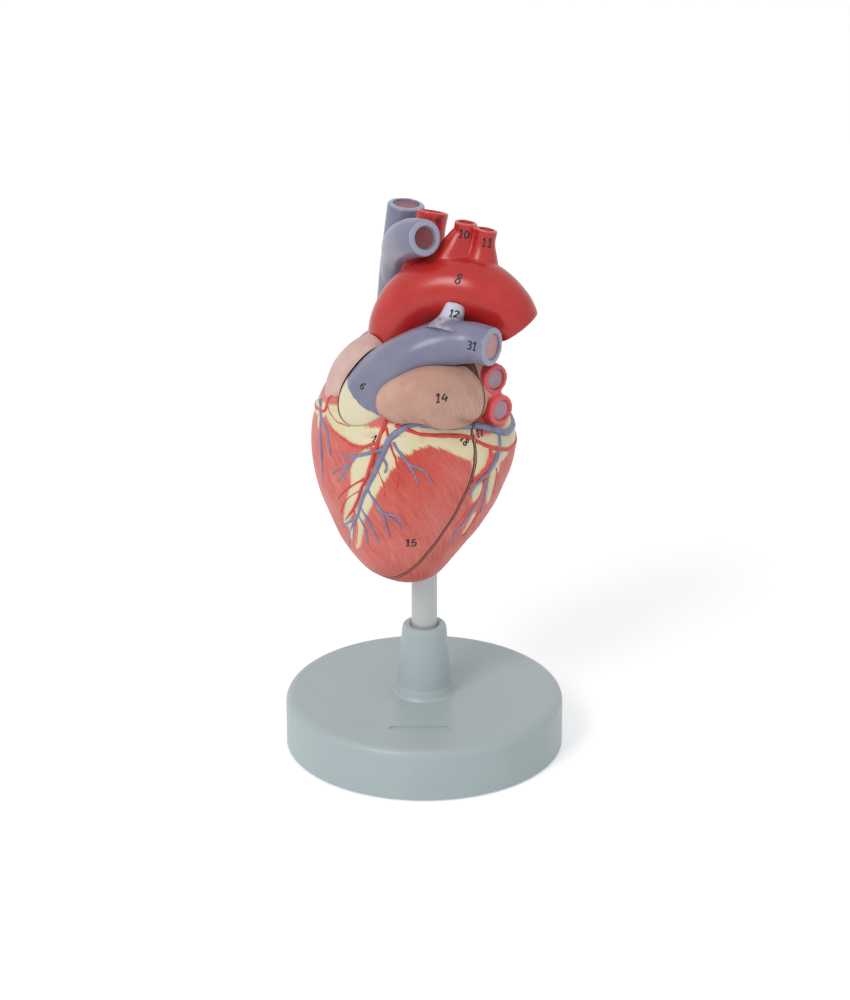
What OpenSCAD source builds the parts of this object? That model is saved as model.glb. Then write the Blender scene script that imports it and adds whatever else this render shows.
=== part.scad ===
// Two-part human heart model on a round stand.
// Sizes are in millimetres, Z is up, and the origin is the middle of the stand's foot.
// The heart is drawn in its own frame, where x runs to the viewer's right across its front,
// y runs to its back, and the rod is the z axis. That frame is then turned about the rod.

/* [Stand] */
// Radius of the round base
base_r = 60; // [55:1:70]
// Height of the base disc above the table
base_h = 23.3; // [20:0.1:28]
// Wall thickness of the hollow base moulding
base_wall = 3; // [2:0.5:4]
// Height of the top of the collar above the table
collar_h = 55; // [45:1:62]
// Radius of the collar at its mouth
collar_r = 9.4; // [8.5:0.1:11]
// Thickness of the steel ballast plate
weight_h = 8; // [5:0.5:8]

/* [Rod] */
// Radius of the steel rod
rod_r = 5.5; // [4:0.1:6]
// Height of the rod's top end, which carries the heart
rod_top = 101; // [92:1:115]

/* [Heart] */
// Turn of the heart about the rod, so that its front faces to the viewer's left
heart_turn = 38; // [0:1:90]
// Gap that shows between the two halves
seam_gap = 0.4; // [0.3:0.1:0.8]
// Radius of the two locating pins
pin_r = 2; // [1.5:0.1:2.2]
// Radius of the round magnets that hold the front on
magnet_r = 4; // [3:0.1:4.5]
// Thickness of each magnet
magnet_h = 3; // [2:0.5:4]
// Depth of the painted floor below the rim of each cut vessel
rim_depth = 2; // [1:0.5:4]

/* [Hidden] */

// ---- fits ----
slide_fit = 0.06;
pin_fit = 0.08;
piece_gap = 0.4;
way_spare = 0.3;
glue = 0.05;
end_gap = 0.3;
cover_gap = 0.2;
weight_gap = 0.5;
pin_depth = 9;
pin_reach = 4;
// Longer than the model in every direction
far = 150;

// ---- sizes of the stand ----
foot_h = 2;
foot_r = 6;
rim_lift = 0.8;
cover_t = 2;
cover_z = foot_h;
weight_z = cover_z + cover_t;
weight_r = 52;
boss_ring_r = 40;
boss_angles = [30, 150, 270];
boss_r = 4;
screw_r = 1.5;
screw_head_r = 2.8;
screw_head_h = 1;
screw_len = 11;
foot_ring_r = 46;
foot_angles = [45, 135, 225, 315];
rib_angles = [0, 60, 120, 180, 240, 300];
rib_w = 2;
bore_floor = 8;
core_r = 11;
bore_r = rod_r + slide_fit;
edge_r = 4;
collar_root_r = 11.6;
label_place = [-2, -38];
label_w = 26;
label_l = 4.8;
label_depth = 0.6;

// ---- places in the heart's frame ----
// Height of the rod's top that the heart is drawn for
drawn_top = 101;
seam_tilt = 14;
seam_y = -12.5;
seam_z = 129;
socket_bottom = 84;
plug_start = -0.54;
plug_shift = 1.5;
socket_r = 8;
socket_roof = 3;
socket_top = drawn_top + socket_roof;
aortic_r = 8.2;
aortic_h = 5;
valve_lift = 1.6;

// Body of the heart, from the apex up: z, centre x, centre y, left, right, front, back
body_rows = [
    [ 79, -1,  -9,  0,  0,  0,  0],
    [ 82, -2,  -8, 16, 12, 13, 12],
    [ 91, -3,  -5, 28, 20, 24, 20],
    [105, -3,  -1, 41, 29, 32, 27],
    [121, -4,   2, 48, 37, 39, 34],
    [138, -5,   4, 50, 42, 40, 36],
    [154, -6,   5, 45, 39, 38, 32],
    [167, -7,   6, 36, 32, 32, 26],
    [178, -8,   8, 28, 24, 23, 20],
    [185, -9,   9, 14, 12, 12, 10],
    [187, -9,  10,  0,  0,  0,  0]
];
// Chambers of the ventricles, in the same columns
left_chamber_rows = [
    [104,  7, -13,  0,  0,  0,  0],
    [107,  8, -13,  7,  7,  7,  7],
    [115,  9, -12, 11, 12, 12, 13],
    [126, 10,  -9, 13, 14, 16, 17],
    [138, 10,  -6, 13, 13, 19, 18],
    [149,  9,  -3, 11, 13, 18, 16],
    [156,  8,  -1,  0,  0,  0,  0]
];
right_chamber_rows = [
    [106, -22, -12,  0,  0,  0,  0],
    [109, -22, -12,  7,  7,  6,  7],
    [118, -26, -11, 14, 10, 13, 13],
    [128, -28,  -9, 17, 12, 17, 16],
    [140, -28,  -6, 17, 12, 20, 17],
    [150, -27,  -3, 14, 11, 19, 16],
    [157, -26,  -1,  0,  0,  0,  0]
];
// Left auricle, from its tip to the right: x, centre z, centre y, down, up, front, back
left_auricle_rows = [
    [ 0, 167,   -27,  0,  0,  0,  0],
    [ 3, 167,   -27,  8,  7,  9,  8],
    [10, 169,   -25, 12, 10, 13, 12],
    [19, 171.5, -22, 13, 12, 14, 14],
    [28, 172,   -18, 14, 12, 13, 14],
    [34, 170.5, -12.5, 11, 11, 10, 9],
    [37.5, 169.5, -9.5, 0, 0, 0, 0]
];
// Vessels: x, y, z and radius of the tube at each station
trunk_path = [[-13, -18, 150, 13], [-11, -19, 158.5, 15.2], [-4, -19, 170, 14], [6, -19, 180.5, 11.5],
    [17, -15, 188, 9.9], [29, -9.5, 190.8, 8.7], [40.7, -7, 190.9, 7.9]];
right_branch_path = [[14, -14, 187, 8], [6, -2, 188, 6], [-2, 14, 187, 6], [-14, 30, 187, 6.5]];
aorta_path = [[-13, 2, 160, 12.5], [-12.6, 0, 175, 13.4], [-10.5, -1, 189, 13.8],
    [-3, 1, 201, 13.8], [9, 6, 206.2, 14], [21.5, 10.5, 205.4, 13.5], [31, 14, 199.5, 11.8],
    [36, 17, 192, 9.8]];
arch_branch_paths = [
    [[-6, 6, 204, 11], [-6.5, 10, 218, 7.6], [-6.5, 12, 227, 6.5], [-6.5, 14, 234.5, 6.7]],
    [[8, 8, 206, 9], [10, 10.5, 219, 6], [10.9, 12, 227, 4.4], [11.5, 13, 233.4, 4.6]],
    [[14, 11, 205, 9], [17, 14, 217.5, 6], [18.6, 15.4, 225, 4.4], [19.5, 16.5, 231, 4.6]]
];
cava_path = [[-30.5, 19, 157, 9.4], [-31, 20, 176, 9], [-28.5, 20, 205, 8.7], [-25, 18, 233, 8]];
cava_branch_path = [[-29, 19, 198, 7], [-23, 13, 212, 8], [-16, 6, 220.5, 8.5], [-6, -1, 226.5, 8.4],
    [4.5, -5, 229.5, 7.7]];
lower_cava_path = [[-22, 19, 141, 8], [-21, 27, 134, 8], [-20, 33, 124, 8]];
left_vein_paths = [
    [[16, 8, 171, 8], [26, 7, 171.6, 7], [33.3, 5.5, 171.8, 6.3]],
    [[16, 8, 159, 8], [28, 7, 159, 7], [36.3, 5.5, 159, 6.3]]
];
right_vein_paths = [
    [[0, 22, 168, 7], [-9, 30, 170, 6.5], [-16, 35, 171, 6]],
    [[0, 22, 159, 7], [-9, 30, 159, 6.5], [-16, 36, 158, 6]]
];
ligament_path = [[20, -9, 194, 6.5], [19.5, -6.5, 197.6, 4.2], [19, -3.4, 201.4, 4.6]];
// Atria, and the lobe of the right auricle: centre, and half sizes along x, y and z
right_atrium_form = [[-24, 8, 160], [18, 20, 20]];
left_atrium_form = [[12, 6, 167], [21, 15, 17]];
right_lobe_form = [[-22, -13, 170], [12, 14, 22]];
right_lobe_tilt = 36;
// Chambers of the atria, in the same columns
right_atrium_space = [[-29, -2, 166], [9, 13, 10]];
left_atrium_space = [[15, 4, 168], [14, 10, 9]];
// Passages between the chambers: out to the aorta, and down from each atrium
passage_paths = [
    [[4, -4, 146, 8], [-4, -1, 153, 8], [-11, 1, 161, 8]],
    [[9, -3, 150, 7.5], [12, 0, 158, 7], [15, 2, 166, 7]],
    [[-28, -2, 149.4, 7.5], [-28.6, -2, 158, 7], [-29, -2, 166, 7]]
];

// Width of the rim at each cut end
trunk_rim = 2.6;
right_branch_rim = 2;
aorta_rim = 3;
arch_branch_rim = 1.6;
cava_rim = 2.6;
cava_branch_rim = 3;
lower_cava_rim = 2.2;
lung_vein_rim = 2.1;
// Rings of the valves between the chambers: centre and radius, and the leaflets below them
mitral_place = [9, -3, 149];
mitral_r = 9.8;
tricuspid_place = [-28, -2, 148];
tricuspid_r = 9.4;
leaflet_drop = 9;
leaflet_mouth_r = 6;
leaflet_slit = 2.4;
// Papillary muscles, as tubes, and the tip and far ends of the strings on each
left_muscle_paths = [
    [[16, 4, 108, 5], [14, 2, 118, 4.2], [12.5, -2, 128, 3.2], [12, -4, 133, 1.6]],
    [[2, 4, 108, 5], [4, 2, 117, 4], [6, -2, 126, 3], [6.5, -4, 131, 1.6]]
];
left_strings = [
    [[12, -4, 132], [[15.4, -3, 141.5], [13, -8.5, 142], [12, 2.2, 142]]],
    [[6.5, -4, 130], [[2.8, -4, 141.5], [5.5, -8.6, 142], [6, 2.4, 142]]]
];
right_muscle_paths = [
    [[-32, 6, 112, 4.4], [-30, 2, 120, 3.6], [-29.5, -3, 129, 2.6], [-29.5, -5, 133, 1.5]],
    [[-18, 2, 112, 4], [-20, -2, 120, 3.2], [-22, -5, 128, 2.4], [-22.5, -6, 132, 1.4]]
];
right_strings = [
    [[-29.5, -5, 132], [[-33.6, -3.5, 140.5], [-29.5, -8, 140.5], [-30, 3.2, 140.5]]],
    [[-22.5, -6, 131], [[-22.4, -3.5, 140.5], [-25.5, -8, 140.5], [-25, 3.2, 140.5]]]
];
string_r = 0.6;

// Pins and magnets on the seam plane: across, and up from the middle of the plane
pin_places = [[-10, -20], [27.5, 10]];
magnet_places = [[-10, 2], [-2, -35]];

// Painted relief vessels on the body: lists of z, angle about the body and radius
front_artery_routes = [
    [[157, 286, 1.6], [146, 280, 1.5], [133, 274, 1.3], [120, 266, 1.1], [109, 252, 0.8]],
    [[133, 274, 1.1], [127, 263, 0.9], [119, 252, 0.7]],
    [[149, 282, 1.2], [145, 267, 1.1], [145, 260, 1.0], [148, 248, 0.7]],
    [[158, 240, 1.4], [154, 236, 1.4], [151, 226, 1.3], [149, 210, 1.3], [149, 190, 1.3]],
    [[155, 238, 1.1], [152, 250, 0.9], [152, 261, 0.6]],
    [[156, 286, 1.2], [148, 290, 1.0], [140, 293, 0.8]],
    [[156, 295, 1.6], [152.5, 310, 1.6], [151.5, 325, 1.5], [149, 343, 1.5]]
];
rear_artery_routes = [
    [[149, 340, 1.5], [146, 354, 1.5], [145, 10, 1.4], [147, 30, 1.3], [149, 55, 1.2]],
    [[146, 352, 1.3], [140, 351, 1.2], [132, 344, 0.9]],
    [[134, 348, 1.1], [123, 348, 1.0], [111, 338, 0.8]],
    [[149, 208, 1.3], [150, 190, 1.3], [150, 160, 1.3], [147, 120, 1.3],
        [145, 100, 1.2]],
    [[145, 100, 1.2], [130, 98, 1.1], [112, 96, 0.9], [98, 94, 0.7]]
];
front_vein_routes = [
    [[153, 350, 2.1], [154.5, 338, 2.1], [155.5, 325, 2.1], [156, 314, 2.1], [155.5, 303, 2.0],
        [153.5, 295, 1.9], [147, 287, 1.8],
        [137, 280, 1.6], [125, 272, 1.3], [112, 262, 1.0]],
    [[112, 262, 0.9], [104, 246, 0.6]],
    [[119, 270, 0.9], [110, 273, 0.8], [102, 267, 0.6]],
    [[128, 276, 1.0], [120, 285, 0.9], [118, 299, 0.6]],
    [[149, 292, 1.1], [141, 300, 0.9], [133, 313, 0.6]],
    [[146, 284, 1.2], [142, 270, 1.0], [138, 256, 0.6]],
    [[141, 267, 0.9], [135, 262, 0.8], [127, 256, 0.6]],
    [[152, 224, 1.2], [148, 235, 1.1], [144, 243, 1.0], [137, 248, 0.7]],
    [[147, 236, 0.9], [134, 239, 0.8], [123, 239, 0.6]]
];
rear_vein_routes = [
    [[154.5, 338, 2.1], [153, 350, 2.1], [150, 12, 2.2], [152, 35, 2.3], [153, 60, 2.6],
        [152, 85, 2.8]],
    [[149, 1, 1.4], [137, 353, 1.2], [130, 343, 0.9], [125, 340, 0.6]],
    [[132, 351, 1.0], [125, 352, 0.9], [115, 356, 0.6]],
    [[150, 90, 1.6], [134, 103, 1.4], [116, 101, 1.1], [101, 99, 0.8]]
];

// ---- number of flats on the drawn shapes ----
body_sides = 30;
body_rings = 17;
vessel_sides = 16;
relief_sides = 6;
trunk_rings = 20;
aorta_rings = 22;
aorta_sides = 24;
ball_sides = 18;

// ---- curves ----
// One value between b and c on the smooth curve through a, b, c, d
function smooth(a, b, c, d, t) =
    0.5 * (2*b + (c - a)*t + (2*a - 5*b + 4*c - d)*t*t + (3*b - a - 3*c + d)*t*t*t);
// A row of the table at place u, where a whole u is a station. Ends run on straight.
function open_row(rows, u) =
    let (last = len(rows) - 1, i = max(0, min(floor(u), last - 1)), t = u - i,
        a = i > 0 ? rows[i - 1] : 2*rows[0] - rows[1],
        d = i + 2 <= last ? rows[i + 2] : 2*rows[last] - rows[last - 1])
    smooth(a, rows[i], rows[i + 1], d, t);
// The same for a rounded form, whose four half widths pass through zero at its poles
function mirrored(row) = [for (k = [0:6]) k < 3 ? row[k] : -row[k]];
function round_row(rows, u) =
    let (last = len(rows) - 1, i = max(0, min(floor(u), last - 1)), t = u - i,
        a = i > 0 ? rows[i - 1] : mirrored(rows[1]),
        d = i + 2 <= last ? rows[i + 2] : mirrored(rows[last - 1]))
    smooth(a, rows[i], rows[i + 1], d, t);
function unit(v) = v / norm(v);

// A point of a rounded form at angle a: egg-shaped, with its own width to each side
function egg_point(r, a) = [
    r[1] + (cos(a) > 0 ? r[4] : r[3]) * cos(a),
    r[2] + (sin(a) > 0 ? r[6] : r[5]) * sin(a),
    r[0]];
function egg_ring(r, sides) = [for (j = [0:sides - 1]) egg_point(r, 360 * j / sides)];
function egg_rings(rows, rings, sides) =
    let (last = len(rows) - 1, cap = 0.15)
    [for (i = [0:rings - 1]) egg_ring(round_row(rows, cap + (last - 2*cap) * i / (rings - 1)), sides)];

// Rings of a tube along a path. The rings turn about the path without a twist from y.
function tube_rings(path, rings, sides) =
    let (last = len(path) - 1, h = 0.02)
    [for (i = [0:rings - 1])
        let (u = last * i / (rings - 1), p = open_row(path, u),
            t = unit(xyz(open_row(path, min(u + h, last))) - xyz(open_row(path, max(u - h, 0)))),
            across = unit(cross([0, 1, 0], t)), along = cross(t, across))
        [for (j = [0:sides - 1])
            xyz(p) + p[3] * (cos(360*j/sides) * across + sin(360*j/sides) * along)]];
function xyz(p) = [p[0], p[1], p[2]];

// Closed skin over a stack of rings
module skin(rings) {
    n = len(rings[0]);
    last = len(rings) - 1;
    polyhedron(
        points = [for (ring = rings) each ring],
        faces = concat(
            [[for (j = [0:n - 1]) j]],
            [for (i = [0:last - 1], j = [0:n - 1])
                [i*n + j, (i + 1)*n + j, (i + 1)*n + (j + 1) % n]],
            [for (i = [0:last - 1], j = [0:n - 1])
                [i*n + j, (i + 1)*n + (j + 1) % n, i*n + (j + 1) % n]],
            [[for (j = [0:n - 1]) last*n + n - 1 - j]]
        )
    );
}
module egg(rows, rings, sides) skin(egg_rings(rows, rings, sides));
module tube(path, rings, sides = vessel_sides) skin(tube_rings(path, rings, sides));

// ---- frames ----
module in_heart() translate([0, 0, rod_top - drawn_top]) rotate([0, 0, -heart_turn]) children();
module at_seam() translate([0, seam_y, seam_z]) rotate([-seam_tilt, 0, 0]) children();
module front_half() at_seam() translate([-far, -far - seam_gap/2, -far]) cube([2*far, far, 2*far]);
module rear_half() at_seam() translate([-far, seam_gap/2, -far]) cube([2*far, far, 2*far]);
// A casting is one closed skin, whatever it is put together from
module casting() resize([0, 0, 0]) children();

// ---- shapes shared by the two halves ----
module body() egg(body_rows, body_rings, body_sides);
module ball(form, tilt = 0)
    translate(form[0]) rotate([0, tilt, 0]) scale(form[1]) sphere(1, $fn = ball_sides);
module right_atrium() ball(right_atrium_form);
module left_atrium() ball(left_atrium_form);
module right_lobe() ball(right_lobe_form, right_lobe_tilt);
module left_lobe()
    rotate([0, 90, 0]) mirror([1, 0, 0]) egg(left_auricle_rows, 12, 20);
module chambers() {
    egg(left_chamber_rows, 10, 16);
    egg(right_chamber_rows, 10, 16);
    ball(right_atrium_space);
    ball(left_atrium_space);
    for (path = passage_paths) tube(path, 5, 14);
}
// The space that a vessel needs, drawn out backwards along the way that the front comes off.
// Each ring lies in a plane that holds that way, and its back half is moved back.
back_way = [0, cos(seam_tilt), -sin(seam_tilt)];
retreat = 40;
function way_rings(path, rings, sides, gap, start, shift) =
    let (last = len(path) - 1, h = 0.02)
    [for (i = [0:rings - 1])
        let (u = start + (last - start) * i / (rings - 1), p = open_row(path, u),
            t = unit(xyz(open_row(path, u + h)) - xyz(open_row(path, u - h))),
            flat = t - (t * back_way) * back_way, across = unit(cross(back_way, flat)))
        [for (j = [0:sides - 1])
            let (a = 360 * (j + 0.5) / sides)
            xyz(p) + (p[3] + gap) * (cos(a) * across + sin(a) / norm(flat) * back_way)
                + (sin(a) > 0 ? retreat + shift : shift) * back_way]];
module trunk_way(gap, start = -0.6, shift = 0)
    skin(way_rings(trunk_path, trunk_rings + 2, vessel_sides, gap, start, shift));
module aorta_way(gap) {
    lower_half = [for (i = [0:4]) aorta_path[i]];
    skin(way_rings(lower_half, 10, aorta_sides, gap, -0.3, 0));
}
function widened(path, gap) = [for (p = path) [p[0], p[1], p[2], p[3] + gap]];
module clear_of_vessels() {
    trunk_way(piece_gap + way_spare);
    aorta_way(piece_gap + way_spare);
    tube(widened(trunk_path, piece_gap), trunk_rings);
    tube(widened(aorta_path, piece_gap), aorta_rings, aorta_sides);
}
module main_vessels() {
    tube(trunk_path, trunk_rings);
    tube(right_branch_path, 10);
    tube(aorta_path, aorta_rings, aorta_sides);
    tube(cava_path, 7);
    tube(lower_cava_path, 6);
    for (path = concat(left_vein_paths, right_vein_paths)) tube(path, 6, 16);
}

// ---- stand ----
module base_shell() color("#b6c1c6") difference() {
    union() {
        difference() {
            rotate_extrude($fn = 96) shell_outline();
            translate([0, 0, -1]) cylinder(r = base_r - base_wall, h = base_h - base_wall + 1, $fn = 96);
        }
        cylinder_at(0, 0, weight_z + 0.1, base_h - 1, core_r);
        for (a = boss_angles)
            rotate([0, 0, a]) cylinder_at(boss_ring_r, 0, weight_z, base_h - 1, boss_r);
        for (a = rib_angles)
            rotate([0, 0, a]) translate([core_r - 1, -rib_w/2, weight_z + weight_h + 0.1])
                cube([base_r - core_r - 1, rib_w, base_h - weight_z - weight_h - 1.1]);
    }
    cylinder_at(0, 0, bore_floor, collar_h + 1, bore_r);
    for (a = boss_angles)
        rotate([0, 0, a]) cylinder_at(boss_ring_r, 0, weight_z - 1, weight_z + screw_len, screw_r);
    label_recess();
}
module cylinder_at(x, y, z0, z1, r) translate([x, y, z0]) cylinder(r = r, h = z1 - z0, $fn = 48);
// Half section of the disc and its tapered collar
module shell_outline() polygon([
    [0, rim_lift], [base_r, rim_lift],
    for (a = [0:15:90]) [base_r - edge_r + edge_r*cos(a), base_h - edge_r + edge_r*sin(a)],
    [collar_root_r + 1.9, base_h], [collar_root_r + 1, base_h + 1.2], [collar_root_r, base_h + 4.5],
    [collar_r + 0.2, collar_h - 2], [collar_r - 0.2, collar_h - 0.6], [collar_r - 0.8, collar_h],
    [bore_r + 1.2, collar_h], [bore_r, collar_h - 1.2], [0, collar_h - 1.2]
]);
module label_recess() translate([label_place[0], label_place[1], base_h - label_depth]) hull()
    for (side = [-1, 1]) translate([side * (label_w - label_l)/2, 0, 0])
        cylinder(r = label_l/2, h = 2, $fn = 32);
module base_weight() color("#6f7478") difference() {
    cylinder_at(0, 0, weight_z, weight_z + weight_h, weight_r);
    cylinder_at(0, 0, weight_z - 1, weight_z + weight_h + 1, core_r + weight_gap);
    for (a = boss_angles)
        rotate([0, 0, a])
            cylinder_at(boss_ring_r, 0, weight_z - 1, weight_z + weight_h + 1, boss_r + weight_gap);
}
module base_bottom_cover() color("#3c4245") difference() {
    cylinder_at(0, 0, cover_z, cover_z + cover_t, base_r - base_wall - cover_gap);
    for (a = boss_angles)
        rotate([0, 0, a]) cylinder_at(boss_ring_r, 0, cover_z - 1, weight_z + 1, screw_r + cover_gap);
}
module base_feet() color("#2a2c2e")
    for (a = foot_angles) rotate([0, 0, a]) cylinder_at(foot_ring_r, 0, 0, foot_h, foot_r);
module cover_screws() color("#9a9da0")
    for (a = boss_angles) rotate([0, 0, a]) {
        cylinder_at(boss_ring_r, 0, cover_z - screw_head_h, cover_z, screw_head_r);
        cylinder_at(boss_ring_r, 0, cover_z - 0.5, weight_z + screw_len - 1, screw_r);
    }

// ---- rod ----
module rod() color("#c4c7c8") rotate_extrude($fn = 64) polygon([
    [0, bore_floor + 0.1], [rod_r - 0.6, bore_floor + 0.1], [rod_r, bore_floor + 0.7],
    [rod_r, rod_top - 1], [rod_r - 1, rod_top], [0, rod_top]]);
module rod_socket() color("#b8a468") in_heart() difference() {
    cylinder_at(0, 0, socket_bottom, socket_top, socket_r);
    cylinder_at(0, 0, socket_bottom - 1, drawn_top + end_gap, bore_r);
}

// ---- rear half ----
module rear_wall() color("#d56a63") in_heart() difference() {
    casting() difference() {
        union() {
            intersection() {
                union() { body(); right_atrium(); left_atrium(); right_lobe(); left_lobe(); }
                rear_half();
            }
            intersection() { body(); trunk_way(-piece_gap, plug_start, plug_shift); }
        }
        chambers();
        main_vessels();
    }
    cylinder_at(0, 0, socket_bottom, socket_top + glue, socket_r + glue);
    cylinder_at(0, 0, 0, socket_bottom + 1, rod_r + piece_gap);
    for (p = pin_places) seam_cylinder(p, 0, pin_depth + glue, pin_r + glue);
    for (p = magnet_places) seam_cylinder(p, 0, magnet_h + seam_gap/2 + glue, magnet_r + glue);
}
// Cylinder square to the seam plane, from depth d0 to depth d1 behind it
module seam_cylinder(place, d0, d1, r)
    at_seam() translate([place[0], d0, place[1]]) rotate([-90, 0, 0])
        cylinder(r = r, h = d1 - d0, $fn = 40);
module locating_pins() color("#d8d8d2") in_heart()
    for (p = pin_places) seam_cylinder(p, -pin_reach, pin_depth, pin_r);
module rear_magnets() color("#8a8d90") in_heart()
    for (p = magnet_places) seam_cylinder(p, seam_gap/2, magnet_h + seam_gap/2, magnet_r);

// Recess that leaves a rim at the cut end of a tube
module end_recess(path, rim) {
    last = len(path) - 1;
    p = xyz(open_row(path, last));
    t = unit(p - xyz(open_row(path, last - 0.05)));
    across = unit(cross([0, 1, 0], t));
    along = cross(t, across);
    multmatrix([
        [across[0], along[0], t[0], p[0]],
        [across[1], along[1], t[1], p[1]],
        [across[2], along[2], t[2], p[2]]])
        translate([0, 0, -rim_depth]) cylinder(r = path[last][3] - rim, h = rim_depth + 1, $fn = 40);
}
module pulmonary_trunk() color("#9696aa") in_heart() difference() {
    casting() difference() {
        union() {
            tube(trunk_path, trunk_rings);
            tube(right_branch_path, 10);
        }
        tube(aorta_path, aorta_rings, aorta_sides);
    }
    end_recess(trunk_path, trunk_rim);
    end_recess(right_branch_path, right_branch_rim);
}
module aorta() color("#c8322d") in_heart() difference() {
    casting() union() {
        tube(aorta_path, aorta_rings, aorta_sides);
        for (path = arch_branch_paths) tube(path, 9, 18);
    }
    end_recess(aorta_path, aorta_rim);
    for (path = arch_branch_paths) end_recess(path, arch_branch_rim);
    translate(xyz(aorta_path[0]) - [0, 0, 2])
        cylinder(r = aortic_r + glue, h = valve_lift + aortic_h + 3, $fn = 40);
}
module superior_vena_cava() color("#9696aa") in_heart() difference() {
    casting() difference() {
        union() {
            tube(cava_path, 7);
            tube(cava_branch_path, 12);
        }
        tube(aorta_path, aorta_rings, aorta_sides);
        tube(arch_branch_paths[0], 9, 18);
    }
    end_recess(cava_path, cava_rim);
    end_recess(cava_branch_path, cava_branch_rim);
}
module inferior_vena_cava() color("#9696aa") in_heart() difference() {
    tube(lower_cava_path, 6);
    end_recess(lower_cava_path, lower_cava_rim);
}
module vein_pair(paths) difference() {
    casting() for (path = paths) tube(path, 6, 16);
    for (path = paths) end_recess(path, lung_vein_rim);
}
module left_pulmonary_veins() color("#dc4650") in_heart() vein_pair(left_vein_paths);
module right_pulmonary_veins() color("#dc4650") in_heart() vein_pair(right_vein_paths);
module arterial_ligament() color("#d8dce6") in_heart() casting() difference() {
    tube(ligament_path, 5, 12);
    main_vessels();
}

// ---- valves and muscles in the chambers ----
// Ring with a thin skirt that narrows downwards and is slit into leaflets
module leaflet_valve(place, ring_r, leaflets, turn) translate(place) difference() {
    rotate_extrude($fn = 40) polygon([
        [ring_r - 1.6, -0.5], [ring_r, 0], [ring_r, 2], [ring_r - 1.6, 2.4],
        [ring_r - 2.4, 1], [leaflet_mouth_r, -leaflet_drop], [leaflet_mouth_r + 0.9, -leaflet_drop]]);
    for (k = [0:leaflets - 1])
        rotate([0, 0, turn + 360 * k / leaflets])
            translate([0, -leaflet_slit/2, -leaflet_drop - 1])
                cube([ring_r, leaflet_slit, leaflet_drop - 1]);
}
module mitral_valve() color("#e8d9b4") in_heart() casting() intersection() {
    leaflet_valve(mitral_place, mitral_r, 2, 20);
    egg(left_chamber_rows, 10, 16);
}
module tricuspid_valve() color("#e8d9b4") in_heart() casting() intersection() {
    leaflet_valve(tricuspid_place, tricuspid_r, 3, 75);
    egg(right_chamber_rows, 10, 16);
}
// Three cups in a ring, in the mouth of the aorta
module aortic_valve() color("#e8d9b4") in_heart() translate(xyz(aorta_path[0]) + [0, 0, valve_lift]) {
    difference() {
        cylinder(r = aortic_r, h = aortic_h, $fn = 40);
        translate([0, 0, -1]) cylinder(r = aortic_r - 1, h = aortic_h + 2, $fn = 40);
    }
    for (a = [30:120:270]) rotate([0, 0, a]) difference() {
        translate([aortic_r/2 - 0.4, 0, 3.6]) sphere(3.4, $fn = 24);
        translate([aortic_r/2 - 0.4, 0, 4]) sphere(2.7, $fn = 24);
        translate([-10, -10, 4.6]) cube([20, 20, 10]);
    }
}
module left_papillary_muscles() color("#d98a80") in_heart() casting() intersection() {
    muscles(left_muscle_paths, left_strings);
    egg(left_chamber_rows, 10, 16);
}
module right_papillary_muscles() color("#d98a80") in_heart() casting() intersection() {
    muscles(right_muscle_paths, right_strings);
    egg(right_chamber_rows, 10, 16);
}
// Muscles, with thin strings from their tips to the edges of the leaflets
module muscles(paths, strings) {
    for (path = paths) tube(path, 6, 12);
    for (group = strings, end = group[1])
        tube([concat(group[0], string_r), concat((group[0] + end) / 2, string_r - 0.1),
            concat(end, string_r)], 3, 6);
}

// ---- front half ----
module front_casting() casting() difference() {
    children(0);
    chambers();
    clear_of_vessels();
}
module front_wall() color("#d56a63") in_heart() difference() {
    front_casting() difference() {
        intersection() { body(); front_half(); }
        right_lobe();
        left_lobe();
    }
    for (p = pin_places) seam_cylinder(p, -pin_reach - 1, 0, pin_r + pin_fit);
    for (p = magnet_places) seam_cylinder(p, -magnet_h - seam_gap/2 - glue, 0, magnet_r + glue);
}
module left_auricle() color("#cda596") in_heart() front_casting()
    intersection() { left_lobe(); front_half(); }
module right_auricle() color("#d4b6af") in_heart() front_casting()
    intersection() { right_lobe(); front_half(); }
module front_magnets() color("#8a8d90") in_heart()
    for (p = magnet_places) seam_cylinder(p, -magnet_h - seam_gap/2, -seam_gap/2, magnet_r);

// ---- relief vessels on the walls ----
// Place u of the body's table at height z, found by halving
function place_of(z, low = 0, high = len(body_rows) - 1, turns = 14) =
    let (mid = (low + high) / 2)
    turns == 0 ? mid
        : round_row(body_rows, mid)[0] < z ? place_of(z, mid, high, turns - 1)
        : place_of(z, low, mid, turns - 1);
function on_body(z, a) = egg_point(round_row(body_rows, place_of(z)), a);
// Angles run on past 360 where a route crosses the body's right side
function unwound(route) =
    [for (i = 0, a = route[0][1]; i < len(route);
        i = i + 1, a = i < len(route) ? nearest_turn(route[i][1], a) : a)
        [route[i][0], a, route[i][2]]];
function nearest_turn(a, last) = a + 360 * round((last - a) / 360);
function route_path(route) =
    let (rows = unwound(route), last = len(rows) - 1, steps = 3 * last)
    [for (i = [0:steps]) let (r = open_row(rows, last * i / steps)) concat(on_body(r[0], r[1]), r[2])];
module relief(route) {
    path = route_path(route);
    skin(surface_rings(path));
}
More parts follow.
